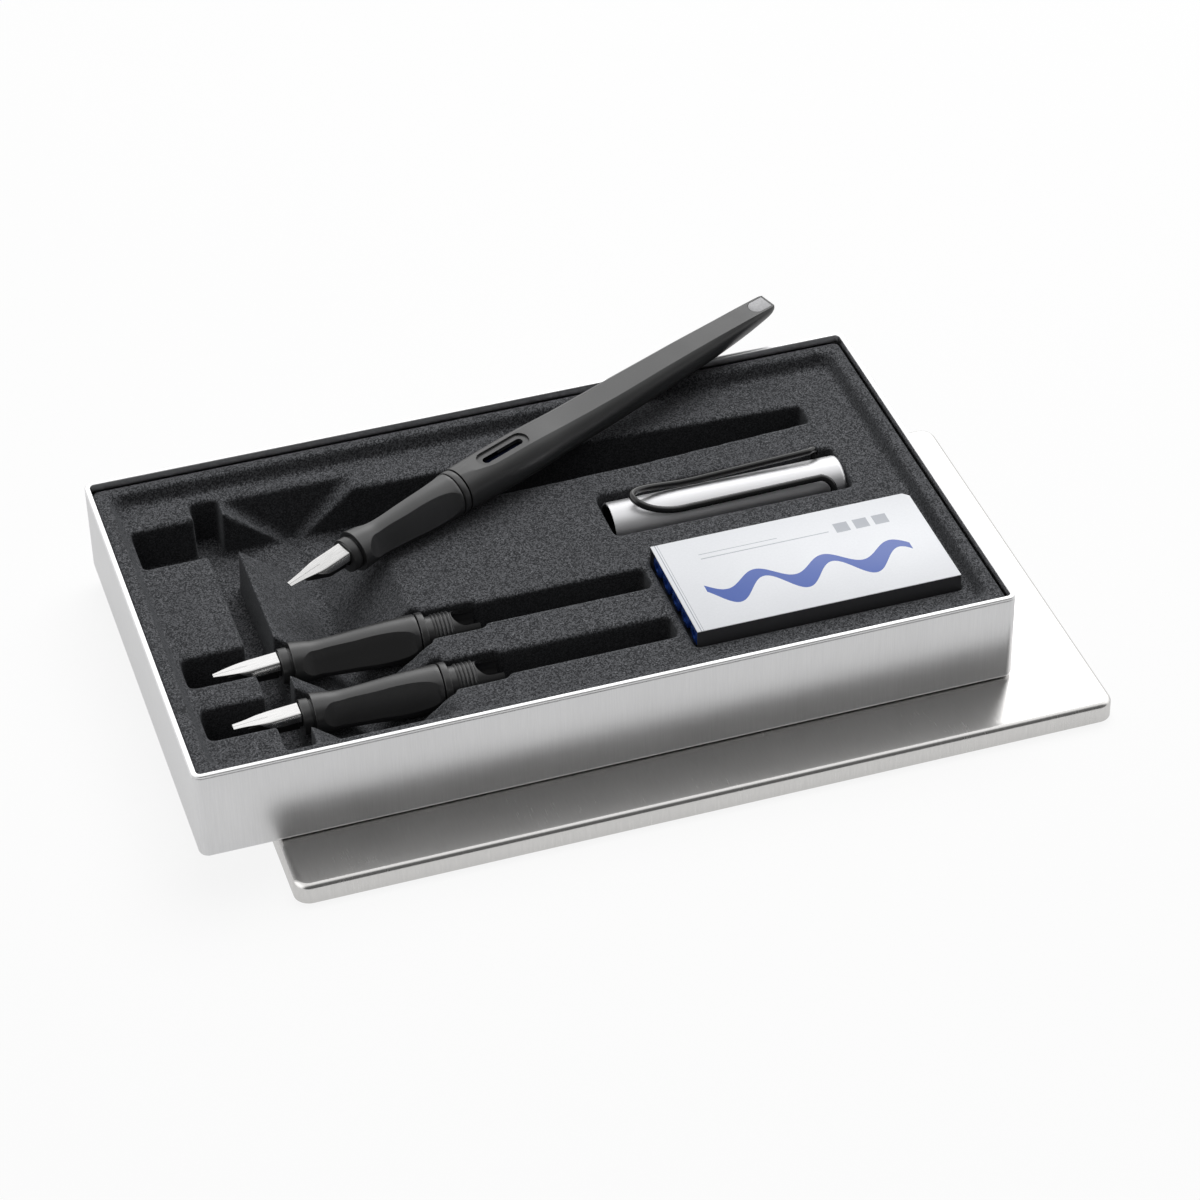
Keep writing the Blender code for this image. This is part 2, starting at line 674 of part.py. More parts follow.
def section_profile():
    """Outside and bore of a grip section, as a closed profile."""
    grip = GRIP_END - GRIP_START
    points = [(COLLAR_START, FEED_BORE_RADIUS), (COLLAR_START, COLLAR_RADIUS - COLLAR_EDGE),
              (COLLAR_START + COLLAR_EDGE, COLLAR_RADIUS), (COLLAR_END, COLLAR_RADIUS),
              (COLLAR_END, GRIP_GROOVE_RADIUS), (GRIP_START, GRIP_GROOVE_RADIUS)]
    points += [(along_share(GRIP_START, grip, place), GRIP_RADIUS * share)
               for place, share in GRIP_POINT_SHARES]
    points += [(GRIP_END - GRIP_EDGE, GRIP_RADIUS), (GRIP_END, GRIP_RADIUS - GRIP_EDGE),
               (GRIP_END, SPIGOT_RADIUS)]
    for turn in range(THREAD_COUNT):
        foot = THREAD_START + turn * THREAD_PITCH
        points.append((foot, SPIGOT_RADIUS))
        points.append((foot + THREAD_PITCH / 2, THREAD_RADIUS))
    points += [(THREAD_START + THREAD_COUNT * THREAD_PITCH, FORK_RADIUS), (FORK_END, FORK_RADIUS),
               (FORK_END, SOCKET_RADIUS), (SOCKET_START, SOCKET_RADIUS),
               (SOCKET_START, FEED_BORE_RADIUS)]
    return points


def make_section(name, parent):
    """Collar, grip with two scooped flats, thread and forked tail, in one piece."""
    made = turned(name, section_profile(), PLASTIC, parent, closed=True)
    grip = GRIP_END - GRIP_START
    scoop = [(along_share(GRIP_START, grip, place), GRIP_RADIUS * share)
             for place, share in FLAT_POINT_SHARES]
    reach = GRIP_RADIUS + OVERRUN
    outline = scoop + [(scoop[-1][0], reach), (scoop[0][0], reach)]
    for side in (-1, 1):
        flat = add("%s_flat_%d" % (name, side), prism(outline, 0, 2, -reach, reach), None, parent,
                   turn=(side * FLAT_TURN, 0.0, 0.0))
        cut(made, as_cutter(flat))
    half = FORK_SLOT_WIDTH / 2
    slot = [(FORK_END + OVERRUN, -half)]
    for step in range(ARC_STEPS + 1):
        angle = step / ARC_STEPS * math.pi
        slot.append((FORK_SLOT_START + half - half * math.sin(angle), -half * math.cos(angle)))
    slot.append((FORK_END + OVERRUN, half))
    fork = add(name + "_slot", prism(slot, 0, 1, -reach, reach), None, parent)
    cut(made, as_cutter(fork))
    return made


def nib_rise(along):
    """Height of the nib's top over the pen's axis."""
    return NIB_TIP_RISE + (NIB_END_RISE - NIB_TIP_RISE) * along / NIB_END


def make_nib(name, parent, tip_half, tip_reach):
    """A folded steel nib: a flat top, and wings that wrap down over the feed."""
    stations = [(-tip_reach, tip_half, tip_half, NIB_EDGE_BEND),
                (NIB_SHOULDER, NIB_SHOULDER_HALF, NIB_SHOULDER_HALF, NIB_EDGE_BEND),
                (NIB_WING_START, NIB_TOP_HALF, NIB_WING_HALF, NIB_WING_DROP / 2),
                (NIB_WING_FULL, NIB_TOP_HALF, NIB_WING_HALF, NIB_WING_DROP),
                (NIB_END, NIB_TOP_HALF, NIB_WING_HALF, NIB_WING_DROP)]
    bm = bmesh.new()
    rows = []
    for along, half, wing, drop in stations:
        top = nib_rise(along)
        wing = max(wing, half + NIB_EDGE_BEND)
        across = [(-wing, top - drop), (-half, top), (0.0, top), (half, top), (wing, top - drop)]
        rows.append([bm.verts.new((along, side, level)) for side, level in across])
    for row, following in zip(rows, rows[1:]):
        for i in range(len(row) - 1):
            bm.faces.new((row[i], following[i], following[i + 1], row[i + 1]))
    made = add(name, bm, STEEL, parent)
    solidify(made, NIB_SHEET)
    return made


def make_feed(name, parent):
    """The feed: a black tongue under the nib, a round tang and the piercing nipple."""
    under = NIB_SHEET + GAP
    tongue_end = NIB_END - GAP
    outline = [(FEED_START, nib_rise(FEED_START) - under), (FEED_START,
               nib_rise(FEED_START) - under - FEED_TIP_DEPTH),
               (tongue_end - FEED_HEEL_LENGTH, -FEED_HEEL_DROP), (tongue_end, -FEED_HEEL_DROP),
               (tongue_end, nib_rise(tongue_end) - under)]
    made = add(name, prism(outline, 0, 2, -FEED_HALF, FEED_HALF), BLACK, parent)
    bevel = made.modifiers.new("edges", "BEVEL")
    bevel.width = FEED_EDGE / 2
    bevel.segments = 1
    profile = [(tongue_end - FEED_EDGE, 0.0), (tongue_end - FEED_EDGE, FEED_TANG_RADIUS),
               (FEED_TANG_END, FEED_TANG_RADIUS), (FEED_TANG_END + FEED_EDGE, NIPPLE_RADIUS),
               (NIPPLE_END, NIPPLE_RADIUS), (NIPPLE_END, 0.0)]
    tang = as_cutter(turned(name + "_tang", profile, None, parent, sides=SMALL_SIDES))
    cut(made, tang, "UNION")
    return made


def make_ring(name, parent):
    """The plain ring between the grip and the barrel."""
    inner = SPIGOT_RADIUS + GAP
    profile = [(RING_START, inner), (RING_START, RING_RADIUS - RING_EDGE),
               (RING_START + RING_EDGE, RING_RADIUS), (RING_END - RING_EDGE, RING_RADIUS),
               (RING_END, RING_RADIUS - RING_EDGE), (RING_END, inner)]
    return turned(name, profile, PLASTIC, parent, closed=True)


def make_nib_unit(prefix, parent, tip_half, tip_reach):
    """Nib, feed, section and ring of one pen front."""
    make_nib(prefix + "_nib", parent, tip_half, tip_reach)
    make_feed(prefix + "_feed", parent)
    make_section(prefix + "_section", parent)
    make_ring(prefix + "_ring", parent)


def cartridge_profile(front, length):
    """An ink cartridge from its neck, which starts at front, to its rear end."""
    hole = NIPPLE_RADIUS + GAP
    hole_end = front + max(NIPPLE_END + GAP - front, CARTRIDGE_EDGE)
    neck_end = front + CARTRIDGE_NECK_LENGTH
    rear = front + length
    return [(hole_end, 0.0), (hole_end, hole), (front, hole),
            (front, CARTRIDGE_NECK_RADIUS), (neck_end, CARTRIDGE_NECK_RADIUS),
            (neck_end + CARTRIDGE_STEP_LENGTH, CARTRIDGE_RADIUS),
            (rear - CARTRIDGE_EDGE, CARTRIDGE_REAR_RADIUS),
            (rear, CARTRIDGE_REAR_RADIUS - CARTRIDGE_EDGE), (rear, 0.0)]


def barrel_at(along):
    """Half width, height of the flat, lift and depth of the barrel at a place on the pen."""
    share = (along - BARREL_START) / BARREL_LENGTH
    for low, high in zip(BARREL_SHARES, BARREL_SHARES[1:]):
        if share <= high[0]:
            mix = (share - low[0]) / (high[0] - low[0])
            return [BARREL_RADIUS * (a + (b - a) * mix) for a, b in zip(low[1:], high[1:])]
    return [BARREL_RADIUS * value for value in BARREL_SHARES[-1][1:]]


def barrel_ring(place):
    """One cross-section of the barrel: round, with its top cut flat."""
    along = along_share(BARREL_START, BARREL_LENGTH, place)
    half, flat, lift, under = barrel_at(along)
    half_angle = math.acos((flat - lift) / half)
    half_width = half * math.sin(half_angle)
    ring = []
    for step in range(BARREL_FLAT_POINTS):
        ring.append((along, half_width * (2 * step / BARREL_FLAT_POINTS - 1), flat))
    for step in range(BARREL_ARC_POINTS):
        angle = half_angle + (math.tau - 2 * half_angle) * step / BARREL_ARC_POINTS
        height = half if math.cos(angle) > 0.0 else lift + under
        ring.append((along, half * math.sin(angle), lift + height * math.cos(angle)))
    return ring


def stadium(left, length, width):
    """A slot outline with round ends."""
    half = width / 2
    points = []
    for centre, start in ((left + length - half, -1), (left + half, 1)):
        for step in range(ARC_STEPS + 1):
            angle = (start / 2 + step / ARC_STEPS) * math.pi
            points.append((centre + half * math.cos(angle), half * math.sin(angle)))
    return points


def tongue(left, right, width):
    """An outline that is square at the right and round at the left."""
    half = width / 2
    points = [(right, -half), (right, half)]
    for step in range(ARC_STEPS + 1):
        angle = (1 / 2 + step / ARC_STEPS) * math.pi
        points.append((left + half + half * math.cos(angle), half * math.sin(angle)))
    return points[1:]


def make_barrel(parent):
    """The long barrel: round at the ring, flat-topped behind it, thin at the tail."""
    made = add("pen_barrel", loft([barrel_ring(row[0]) for row in BARREL_SHARES]), PLASTIC, parent)
    spigot = THREAD_RADIUS + GAP
    fork = FORK_RADIUS + GAP
    bore = [(BARREL_START - OVERRUN, 0.0), (BARREL_START - OVERRUN, spigot),
            (FORK_SLOT_START, spigot), (FORK_SLOT_START, fork), (BORE_WALL_END, fork),
            (BORE_WALL_END, CARTRIDGE_BORE_RADIUS),
            (CARTRIDGE_BORE_END, CARTRIDGE_BORE_REAR_RADIUS), (CARTRIDGE_BORE_END, 0.0)]
    cut(made, as_cutter(turned("barrel_bore", bore, None, parent)))
    flat = barrel_at(WINDOW_START + WINDOW_LENGTH)[1]
    oval = stadium(WINDOW_START, WINDOW_LENGTH, WINDOW_WIDTH)
    recess = add("window_recess", prism(oval, 0, 1, flat - WINDOW_DEPTH, BARREL_RADIUS + OVERRUN),
                 None, parent)
    cut(made, as_cutter(recess))
    slot = stadium(WINDOW_START + WINDOW_SLOT_INSET, WINDOW_LENGTH - 2 * WINDOW_SLOT_INSET,
                   WINDOW_SLOT_WIDTH)
    through = add("window_slot", prism(slot, 0, 1, 0.0, BARREL_RADIUS + OVERRUN), None, parent)
    cut(made, as_cutter(through))
    cut(made, as_cutter(make_inlay("inlay_seat", parent, GAP, OVERRUN, None)))
    return made


def make_inlay(name, parent, grow, proud, look):
    """The small inlay at the tail, or the seat that it lies in."""
    right = BARREL_START + BARREL_LENGTH - INLAY_FROM_END
    left = right - INLAY_LENGTH
    low, high = barrel_at(left)[1], barrel_at(right)[1]
    slope = (high - low) / INLAY_LENGTH
    outline = tongue(left - grow, right + grow, INLAY_WIDTH + 2 * grow)
    rings = []
    for lift in (-INLAY_THICKNESS - grow, proud):
        rings.append([(x, y, low + slope * (x - left) + lift) for x, y in outline])
    return add(name, loft(rings), look, parent)


def make_pen():
    """The assembled pen, lying from the panel up over the tray's back rim."""
    belly = along_share(GRIP_START, GRIP_END - GRIP_START, GRIP_BELLY_SHARE)
    belly_radius = GRIP_RADIUS * GRIP_BELLY_RADIUS_SHARE
    belly_x = PANEL_LEFT + PEN_BELLY_FROM_LEFT
    belly_y = across_panel(PEN_BELLY_SHARE)
    belly_z = PANEL + GAP + belly_radius
    run = (TRAY_WIDTH / 2 - HEM_WIDTH / 2 - belly_y) / math.sin(PEN_AZIMUTH)
    rim_z = TRAY_HEIGHT + GAP + barrel_at(belly + run)[3]
    tilt = math.atan2(rim_z - belly_z, run)
    turn = (Matrix.Rotation(PEN_AZIMUTH, 4, "Z") @ Matrix.Rotation(-tilt, 4, "Y") @
            Matrix.Rotation(PEN_ROLL, 4, "X"))
    place = Vector((belly_x, belly_y, belly_z)) - turn @ Vector((belly, 0.0, 0.0))
    pen = empty("pen_place", TRAY_PLACE, place, turn.to_euler())
    make_nib_unit("pen", pen, PEN_TIP_HALF, PEN_TIP_REACH)
    front = NIPPLE_END - CARTRIDGE_NECK_LENGTH / 2
    front = max(front, SOCKET_START + GAP)
    turned("pen_cartridge", cartridge_profile(front, CARTRIDGE_LENGTH), INK, pen,
           sides=CARTRIDGE_SIDES)
    make_barrel(pen)
    make_inlay("pen_tail_inlay", pen, 0.0, 0.0, INLAY)
    return pen


def make_spares():
    """The two spare sections, each in its own row of pockets."""
    level = PANEL - GRIP_POCKET_DEPTH + GAP + RING_RADIUS
    tips = (SPARE_1_TIP_HALF, SPARE_2_TIP_HALF)
    for number, (middle, tip_half) in enumerate(zip(spare_middles(), tips), 1):
        place = (PANEL_LEFT + SPARE_TIP_FROM_LEFT, middle, level)
        frame = empty("spare_%d_place" % number, TRAY_PLACE, place)
        make_nib_unit("spare_%d" % number, frame, tip_half, 0.0)


def clip_path():
    """Centre line of the clip's wire, from one side hole round the loop to the other."""
    hole = CAP_LENGTH - CLIP_HOLE_FROM_END
    bend = CLIP_BEND_RADIUS
    side = [(hole, CLIP_INNER_HALF, 0.0), (hole, CLIP_FLARE_HALF - CLIP_WIRE, 0.0),
            (hole, CLIP_FLARE_HALF, CLIP_WIRE)]
    for step in range(CLIP_BEND_POINTS + 1):
        angle = step / CLIP_BEND_POINTS * math.pi / 2
        mix = step / CLIP_BEND_POINTS
        side.append((hole - bend + bend * math.cos(angle),
                     CLIP_FLARE_HALF + (CLIP_LEG_HALF - CLIP_FLARE_HALF) * mix,
                     CLIP_LEG_RISE - bend + bend * math.sin(angle)))
    loop_end = CLIP_LOOP_FROM_MOUTH + CLIP_LOOP_LENGTH
    side.append((loop_end + CLIP_LOOP_DIP, CLIP_WAIST_HALF, CLIP_WAIST_RISE))
    loop = []
    for step in range(CLIP_LOOP_POINTS + 1):
        angle = step / CLIP_LOOP_POINTS * math.pi
        half = CLIP_WAIST_HALF + (CLIP_LOOP_HALF - CLIP_WAIST_HALF) * math.sin(angle)
        lift = CLIP_LOOP_LIFT * math.sin(angle) ** 2
        loop.append((loop_end - CLIP_LOOP_LENGTH * math.sin(angle), half * math.cos(angle),
                     CLIP_WAIST_RISE + lift))
    other = [(x, -y, z) for x, y, z in reversed(side)]
    return side + loop + other


def make_clip(parent):
    """The wire clip: a long loop whose ends turn into the cap's side holes."""
    curve = bpy.data.curves.new("cap_clip", "CURVE")
    curve.dimensions = "3D"
    curve.bevel_depth = CLIP_WIRE
    curve.bevel_resolution = 2
    curve.use_fill_caps = True
    points = clip_path()
    spline = curve.splines.new("POLY")
    spline.points.add(len(points) - 1)
    for point, place in zip(spline.points, points):
        point.co = (*place, 1.0)
    curve.materials.append(WIRE)
    made = bpy.data.objects.new("cap_clip", curve)
    SET.objects.link(made)
    made.parent = parent
    return made


def make_cap():
    """The cap: an aluminium tube, its inner cap, the end plug and the wire clip."""
    left = CAP_POCKET_RIGHT - CAP_POCKET_LENGTH + CAP_MOUTH_MARGIN
    level = PANEL - CAP_POCKET_DEPTH + GAP + CAP_RADIUS
    cap = empty("cap_place", TRAY_PLACE, (left, CAP_MIDDLE, level), (CAP_ROLL, 0.0, 0.0))
    inner = CAP_RADIUS - CAP_WALL
    plug_hole = PLUG_RADIUS + GAP
    end = CAP_LENGTH
    tube = [(0.0, inner), (0.0, CAP_RADIUS - CAP_MOUTH_EDGE), (CAP_MOUTH_EDGE, CAP_RADIUS)]
    for step in range(EDGE_STEPS + 2):
        angle = step / (EDGE_STEPS + 1) * math.pi / 2
        tube.append((end - CAP_END_EDGE + CAP_END_EDGE * math.sin(angle),
                     CAP_RADIUS - CAP_END_EDGE + CAP_END_EDGE * math.cos(angle)))
    tube += [(end, plug_hole), (end - CAP_END_WALL, plug_hole), (end - CAP_END_WALL, inner)]
    made = turned("cap_tube", tube, CAP_METAL, cap, closed=True, sides=CAP_SIDES)
    hole = [(-CAP_RADIUS - OVERRUN, 0.0), (-CAP_RADIUS - OVERRUN, CLIP_WIRE + GAP),
            (CAP_RADIUS + OVERRUN, CLIP_WIRE + GAP), (CAP_RADIUS + OVERRUN, 0.0)]
    drill = turned("clip_holes", hole, None, cap, sides=SMALL_SIDES,
                   place=(end - CLIP_HOLE_FROM_END, 0.0, 0.0))
    drill.rotation_euler = (0.0, 0.0, math.pi / 2)
    cut(made, as_cutter(drill))
    outer = inner - SLEEVE_GAP
    liner = [(LINER_MOUTH_SET_BACK, outer - LINER_WALL), (LINER_MOUTH_SET_BACK, outer),
             (LINER_LENGTH, outer), (LINER_LENGTH, 0.0)]
    bottom = LINER_LENGTH - LINER_WALL
    liner = [(bottom, 0.0), (bottom, outer - LINER_WALL)] + liner
    turned("cap_liner", liner, BLACK, cap, sides=CAP_SIDES)
    flange_end = end - CAP_END_WALL - GAP
    plug = [(flange_end - PLUG_FLANGE, 0.0), (flange_end - PLUG_FLANGE, outer),
            (flange_end, outer), (flange_end, PLUG_RADIUS), (end - GAP, PLUG_RADIUS),
            (end, PLUG_RADIUS - GAP), (end, 0.0)]
    turned("cap_end_plug", plug, BLACK, cap, sides=CAP_SIDES)
    make_clip(cap)
    return cap


def cut_corner_outline(left, inset):
    """The pack's outline from above, smaller by the inset on three sides."""
    right = PACK_LENGTH - inset
    back = PACK_WIDTH - inset
    return [(left, inset), (right, inset), (right, back - PACK_CUT_CORNER),
            (right - PACK_CUT_CORNER, back), (left, back)]


def make_pack():
    """The ink pack: a card sleeve with open ends, a shallow tray and five cartridges."""
    bottom = PANEL - PACK_POCKET_DEPTH + GAP
    place = (PACK_LEFT, PACK_FRONT, bottom)
    pack = empty("pack_place", TRAY_PLACE, place)
    outline = cut_corner_outline(0.0, 0.0)
    sleeve = add("pack_sleeve", prism(outline, 0, 1, 0.0, PACK_HEIGHT), CARD, pack)
    inside = cut_corner_outline(-OVERRUN, PACK_CARD)
    hollow = prism(inside, 0, 1, PACK_CARD, PACK_HEIGHT - PACK_CARD)
    cut(sleeve, as_cutter(add("pack_hollow", hollow, None, pack)))
    low = PACK_CARD + SLEEVE_GAP
    lip = low + PACK_TRAY_SHEET
    lip_top = lip + CARTRIDGE_RADIUS
    around = PACK_CARD + GAP
    tray = add("pack_tray", prism(cut_corner_outline(GAP, around), 0, 1, low, lip_top),
               TRAY_CARD, pack)
    bed = rectangle(-OVERRUN, PACK_LENGTH - around - PACK_TRAY_SHEET, -OVERRUN,
                    PACK_WIDTH + OVERRUN)
    cut(tray, as_cutter(add("pack_bed", prism(bed, 0, 1, lip, PACK_HEIGHT), None, pack)))
    tray_end = PACK_LENGTH - around
    room = PACK_WIDTH - 2 * (PACK_CARD + GAP)
    pitch = (room - 2 * CARTRIDGE_RADIUS) / (PACK_CARTRIDGES - 1)
    length = tray_end - PACK_TRAY_SHEET - GAP - PACK_MOUTH_ROOM
    level = lip + SLEEVE_GAP + CARTRIDGE_RADIUS
    for number in range(PACK_CARTRIDGES):
        middle = PACK_CARD + GAP + CARTRIDGE_RADIUS + pitch * number
        name = "pack_cartridge_%d" % (number + 1)
        turned(name, cartridge_profile(0.0, length), INK, pack, sides=CARTRIDGE_SIDES,
               place=(PACK_MOUTH_ROOM, middle, level))
    return pack


def centre_on_footprint():
    """Moves the whole set so that its footprint's middle is the origin."""
    bpy.context.view_layer.update()
    graph = bpy.context.evaluated_depsgraph_get()
    low = [math.inf] * 3
    high = [-math.inf] * 3
    for piece in SET.objects:
        if piece.type == "EMPTY":
            continue
        shown = piece.evaluated_get(graph)
        mesh = shown.to_mesh()
        for vertex in mesh.vertices:
            place = shown.matrix_world @ vertex.co
            for axis in range(3):
                low[axis] = min(low[axis], place[axis])
                high[axis] = max(high[axis], place[axis])
        shown.to_mesh_clear()
    SET_ORIGIN.location = (-(low[0] + high[0]) / 2, -(low[1] + high[1]) / 2, -low[2])
    bpy.context.view_layer.update()
    print("set moved by", [round(value, 6) for value in SET_ORIGIN.location])
    print("size", [round(high[axis] - low[axis], 6) for axis in range(3)])
    for name in ("pen_place", "cap_place", "spare_1_place", "spare_2_place", "pack_place"):
        matrix = bpy.data.objects[name].matrix_world
        print(name, [round(v, 6) for v in matrix.translation], "along",
              [round(v, 6) for v in matrix.col[0][:3]])


make_lid()
make_tray()
make_insert()
make_pen()
make_spares()
make_cap()
make_pack()
centre_on_footprint()
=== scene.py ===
"""Looks of the calligraphy set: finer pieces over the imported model, materials, light, camera.

Metres, +Z up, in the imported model's own frame.
"""

import json
import math

import bmesh
import bpy
from mathutils import Matrix, Vector


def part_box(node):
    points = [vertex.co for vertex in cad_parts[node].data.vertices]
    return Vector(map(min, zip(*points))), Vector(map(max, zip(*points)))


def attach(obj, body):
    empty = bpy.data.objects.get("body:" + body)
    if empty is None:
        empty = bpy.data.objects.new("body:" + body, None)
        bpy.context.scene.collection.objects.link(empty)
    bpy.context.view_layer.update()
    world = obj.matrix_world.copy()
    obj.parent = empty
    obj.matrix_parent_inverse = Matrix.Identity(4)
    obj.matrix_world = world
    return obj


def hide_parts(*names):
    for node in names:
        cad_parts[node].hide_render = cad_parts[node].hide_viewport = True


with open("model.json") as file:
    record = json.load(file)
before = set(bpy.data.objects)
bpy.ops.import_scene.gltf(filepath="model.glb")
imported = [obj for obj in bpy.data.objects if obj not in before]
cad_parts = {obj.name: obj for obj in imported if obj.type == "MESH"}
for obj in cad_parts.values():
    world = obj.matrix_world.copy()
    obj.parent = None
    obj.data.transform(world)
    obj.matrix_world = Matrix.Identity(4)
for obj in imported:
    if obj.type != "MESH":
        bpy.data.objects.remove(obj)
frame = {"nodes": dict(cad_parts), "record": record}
SCENE = bpy.context.scene
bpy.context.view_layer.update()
NODES = frame["nodes"]
JOINTS = {joint["name"]: joint for joint in frame["record"]["behaviour"]["joints"]}

# Common sizes
GAP = 0.0003
OVERRUN = 0.0010
MERGE = 0.000002
TOUCH = 0.0001
FINE_EDGE = 0.0001
SIDES = 96
ARC_STEPS = 24
SHARP_ANGLE = 32.0
SMOOTH_ANGLE = 180.0
FLAT_ANGLE = math.radians(1.0)

# Tray and lid
TRAY_LENGTH = 0.2200
TRAY_WIDTH = 0.1300
TRAY_HEIGHT = 0.02665
TRAY_CORNER = 0.0026
TRAY_BOTTOM_EDGE = 0.0012
SHEET = 0.0006
HEM_WIDTH = 0.00145
HEM_DEPTH = 0.0020
HEM_ROUND = 0.00035
HEM_GROOVE_DROP = 0.0007
HEM_GROOVE_HEIGHT = 0.0003
HEM_GROOVE_DEPTH = 0.0002
HEM_GROOVE_ROUND = 0.00005
HEM_GROOVE_LIP = 0.00003
PAN_CORNER_STEPS = 14
PAN_EDGE_STEPS = 7
LID_HEIGHT = 0.0056
LID_CORNER = 0.0042
LID_CLEARANCE = 0.0001
LID_TOP_EDGE = 0.0015
INSERT_SHEET = 0.0009

# The insert's soft edges: grid size and rounds of smoothing, final and quick
INSERT_GRID = (0.00055, 0.0008)
INSERT_ROUNDS = (13, 6)
INSERT_KEPT_FACES = 0.2
INSERT_FOOT = 0.002
INSERT_DOWN = -0.7
FLOCK_CELLS = 2900.0

# Grip section, from the nib's tip; points are shares of the grip's length and radius
COLLAR_START = 0.0176
COLLAR_END = 0.0200
COLLAR_RADIUS = 0.0047
COLLAR_EDGE = 0.0002
COLLAR_EDGE_MIDDLE = 0.00006
GRIP_GROOVE_RADIUS = 0.0043
GRIP_START = 0.0206
GRIP_END = 0.0546
GRIP_RADIUS = 0.0062
GRIP_EDGE = 0.0003
GRIP_FRONT_SHARE = 0.925
GRIP_STEPS = 40
FLAT_STEPS = 36
GRIP_POINTS = ((0.0, 0.94), (0.10, 0.89), (0.22, 0.825), (0.33, 0.85), (0.50, 0.91),
               (0.66, 0.97), (0.86, 1.0), (0.99, 1.0))
FLAT_TURN = math.radians(64.0)
FLAT_POINTS = ((0.05, 0.94), (0.16, 0.67), (0.27, 0.635), (0.50, 0.70), (0.75, 0.765),
               (0.90, 0.85), (1.0, 1.0))
SPIGOT_RADIUS = 0.0048
THREAD_START = 0.0587
THREAD_PITCH = 0.00105
THREAD_COUNT = 5
THREAD_RADIUS = 0.0052
THREAD_CREST = 0.00003
FORK_RADIUS = 0.0047
FORK_END = 0.0710
FORK_EDGE = 0.0002
FORK_SLOT_START = 0.0641
FORK_SLOT_WIDTH = 0.0068
FEED_BORE_RADIUS = 0.0026
FEED_EDGE = 0.00012
SECTION_ANGLE = 24.0
SOCKET_START = 0.0535
SOCKET_RADIUS = 0.0039
RING_START = 0.0549
RING_END = 0.0568
RING_RADIUS = 0.0063
RING_EDGE = 0.0003

# Nib: place, half width, spread and drop of its sides; half width and reach of each tip
NIB_END = 0.0173
NIB_SHEET = 0.00035
NIB_TIP_RISE = 0.0018
NIB_END_RISE = 0.0034
NIB_STATIONS = ((0.0, None, 0.0001, 0.0001), (0.0030, 0.00125, 0.0001, 0.0001),
                (0.0062, 0.00185, 0.00012, 0.00016), (0.0078, 0.00206, 0.0005, 0.0009),
                (0.0100, 0.00224, 0.00072, 0.0018), (0.0130, 0.00226, 0.00074, 0.0022),
                (0.0173, 0.00226, 0.00074, 0.0022))
NIB_TIPS = {"pen": (0.00075, 0.0012), "spare_1": (0.00055, 0.0), "spare_2": (0.00095, 0.0)}
NIB_STEPS = 56
NIB_BEND = 0.00028
NIB_CROWN = 0.00003
NIB_MERGE = 0.000008
NIB_ANGLE = 40.0
SLIT_END = 0.0092
SLIT_HALF = 0.00004

# Barrel: place, then half width, flat's height, lift and underside as shares of its radius
BARREL_START = 0.0571
BARREL_LENGTH = 0.1160
BARREL_RADIUS = 0.0066
BARREL_ROWS = ((0.0, 0.974, 0.969, 0.0, 0.974), (0.03, 0.985, 0.955, 0.0, 0.985),
               (0.06, 0.993, 0.923, 0.0, 0.993), (0.10, 1.0, 0.885, 0.0, 1.0),
               (0.20, 0.992, 0.873, 0.0, 0.992), (0.32, 0.924, 0.790, 0.0, 0.924),
               (0.41, 0.90, 0.757, 0.005, 0.895), (0.50, 0.871, 0.745, 0.035, 0.86),
               (0.61, 0.818, 0.742, 0.075, 0.80), (0.72, 0.758, 0.733, 0.13, 0.73),
               (0.78, 0.705, 0.713, 0.17, 0.70), (0.845, 0.644, 0.687, 0.22, 0.60),
               (0.91, 0.585, 0.658, 0.275, 0.44), (0.955, 0.53, 0.622, 0.325, 0.28),
               (0.98, 0.495, 0.600, 0.365, 0.17), (0.992, 0.47, 0.590, 0.39, 0.08),
               (1.0, 0.42, 0.580, 0.42, -0.03))
BARREL_STEPS = 150
BARREL_ANGLE = 18.0
BORE_WALL_END = 0.0722
CARTRIDGE_BORE_RADIUS = 0.0041
CARTRIDGE_BORE_REAR = 0.0036
CARTRIDGE_BORE_END = 0.1320
WINDOW_START = 0.0643
WINDOW_LENGTH = 0.0174
WINDOW_WIDTH = 0.0054
WINDOW_DEPTH = 0.0005
WINDOW_SLOT_INSET = 0.0018
WINDOW_SLOT_WIDTH = 0.0022
INLAY_LENGTH = 0.0064
INLAY_WIDTH = 0.0046
INLAY_THICKNESS = 0.0005
INLAY_FROM_END = 0.0006
INLAY_EDGE = 0.00008
PEN_ROLL = math.radians(8.0)
PEN_HEADING = math.radians(24.2)
PEN_CARTRIDGE_START = 0.0538

# Cartridges
CARTRIDGE_RADIUS = 0.0036
CARTRIDGE_REAR_RADIUS = 0.0033
CARTRIDGE_NECK_RADIUS = 0.0030
CARTRIDGE_NECK_LENGTH = 0.0090
CARTRIDGE_STEP_LENGTH = 0.0010
CARTRIDGE_EDGE = 0.0005
CARTRIDGE_NECK_EDGE = 0.0003
NIPPLE_RADIUS = 0.0009
NIPPLE_END = 0.0570

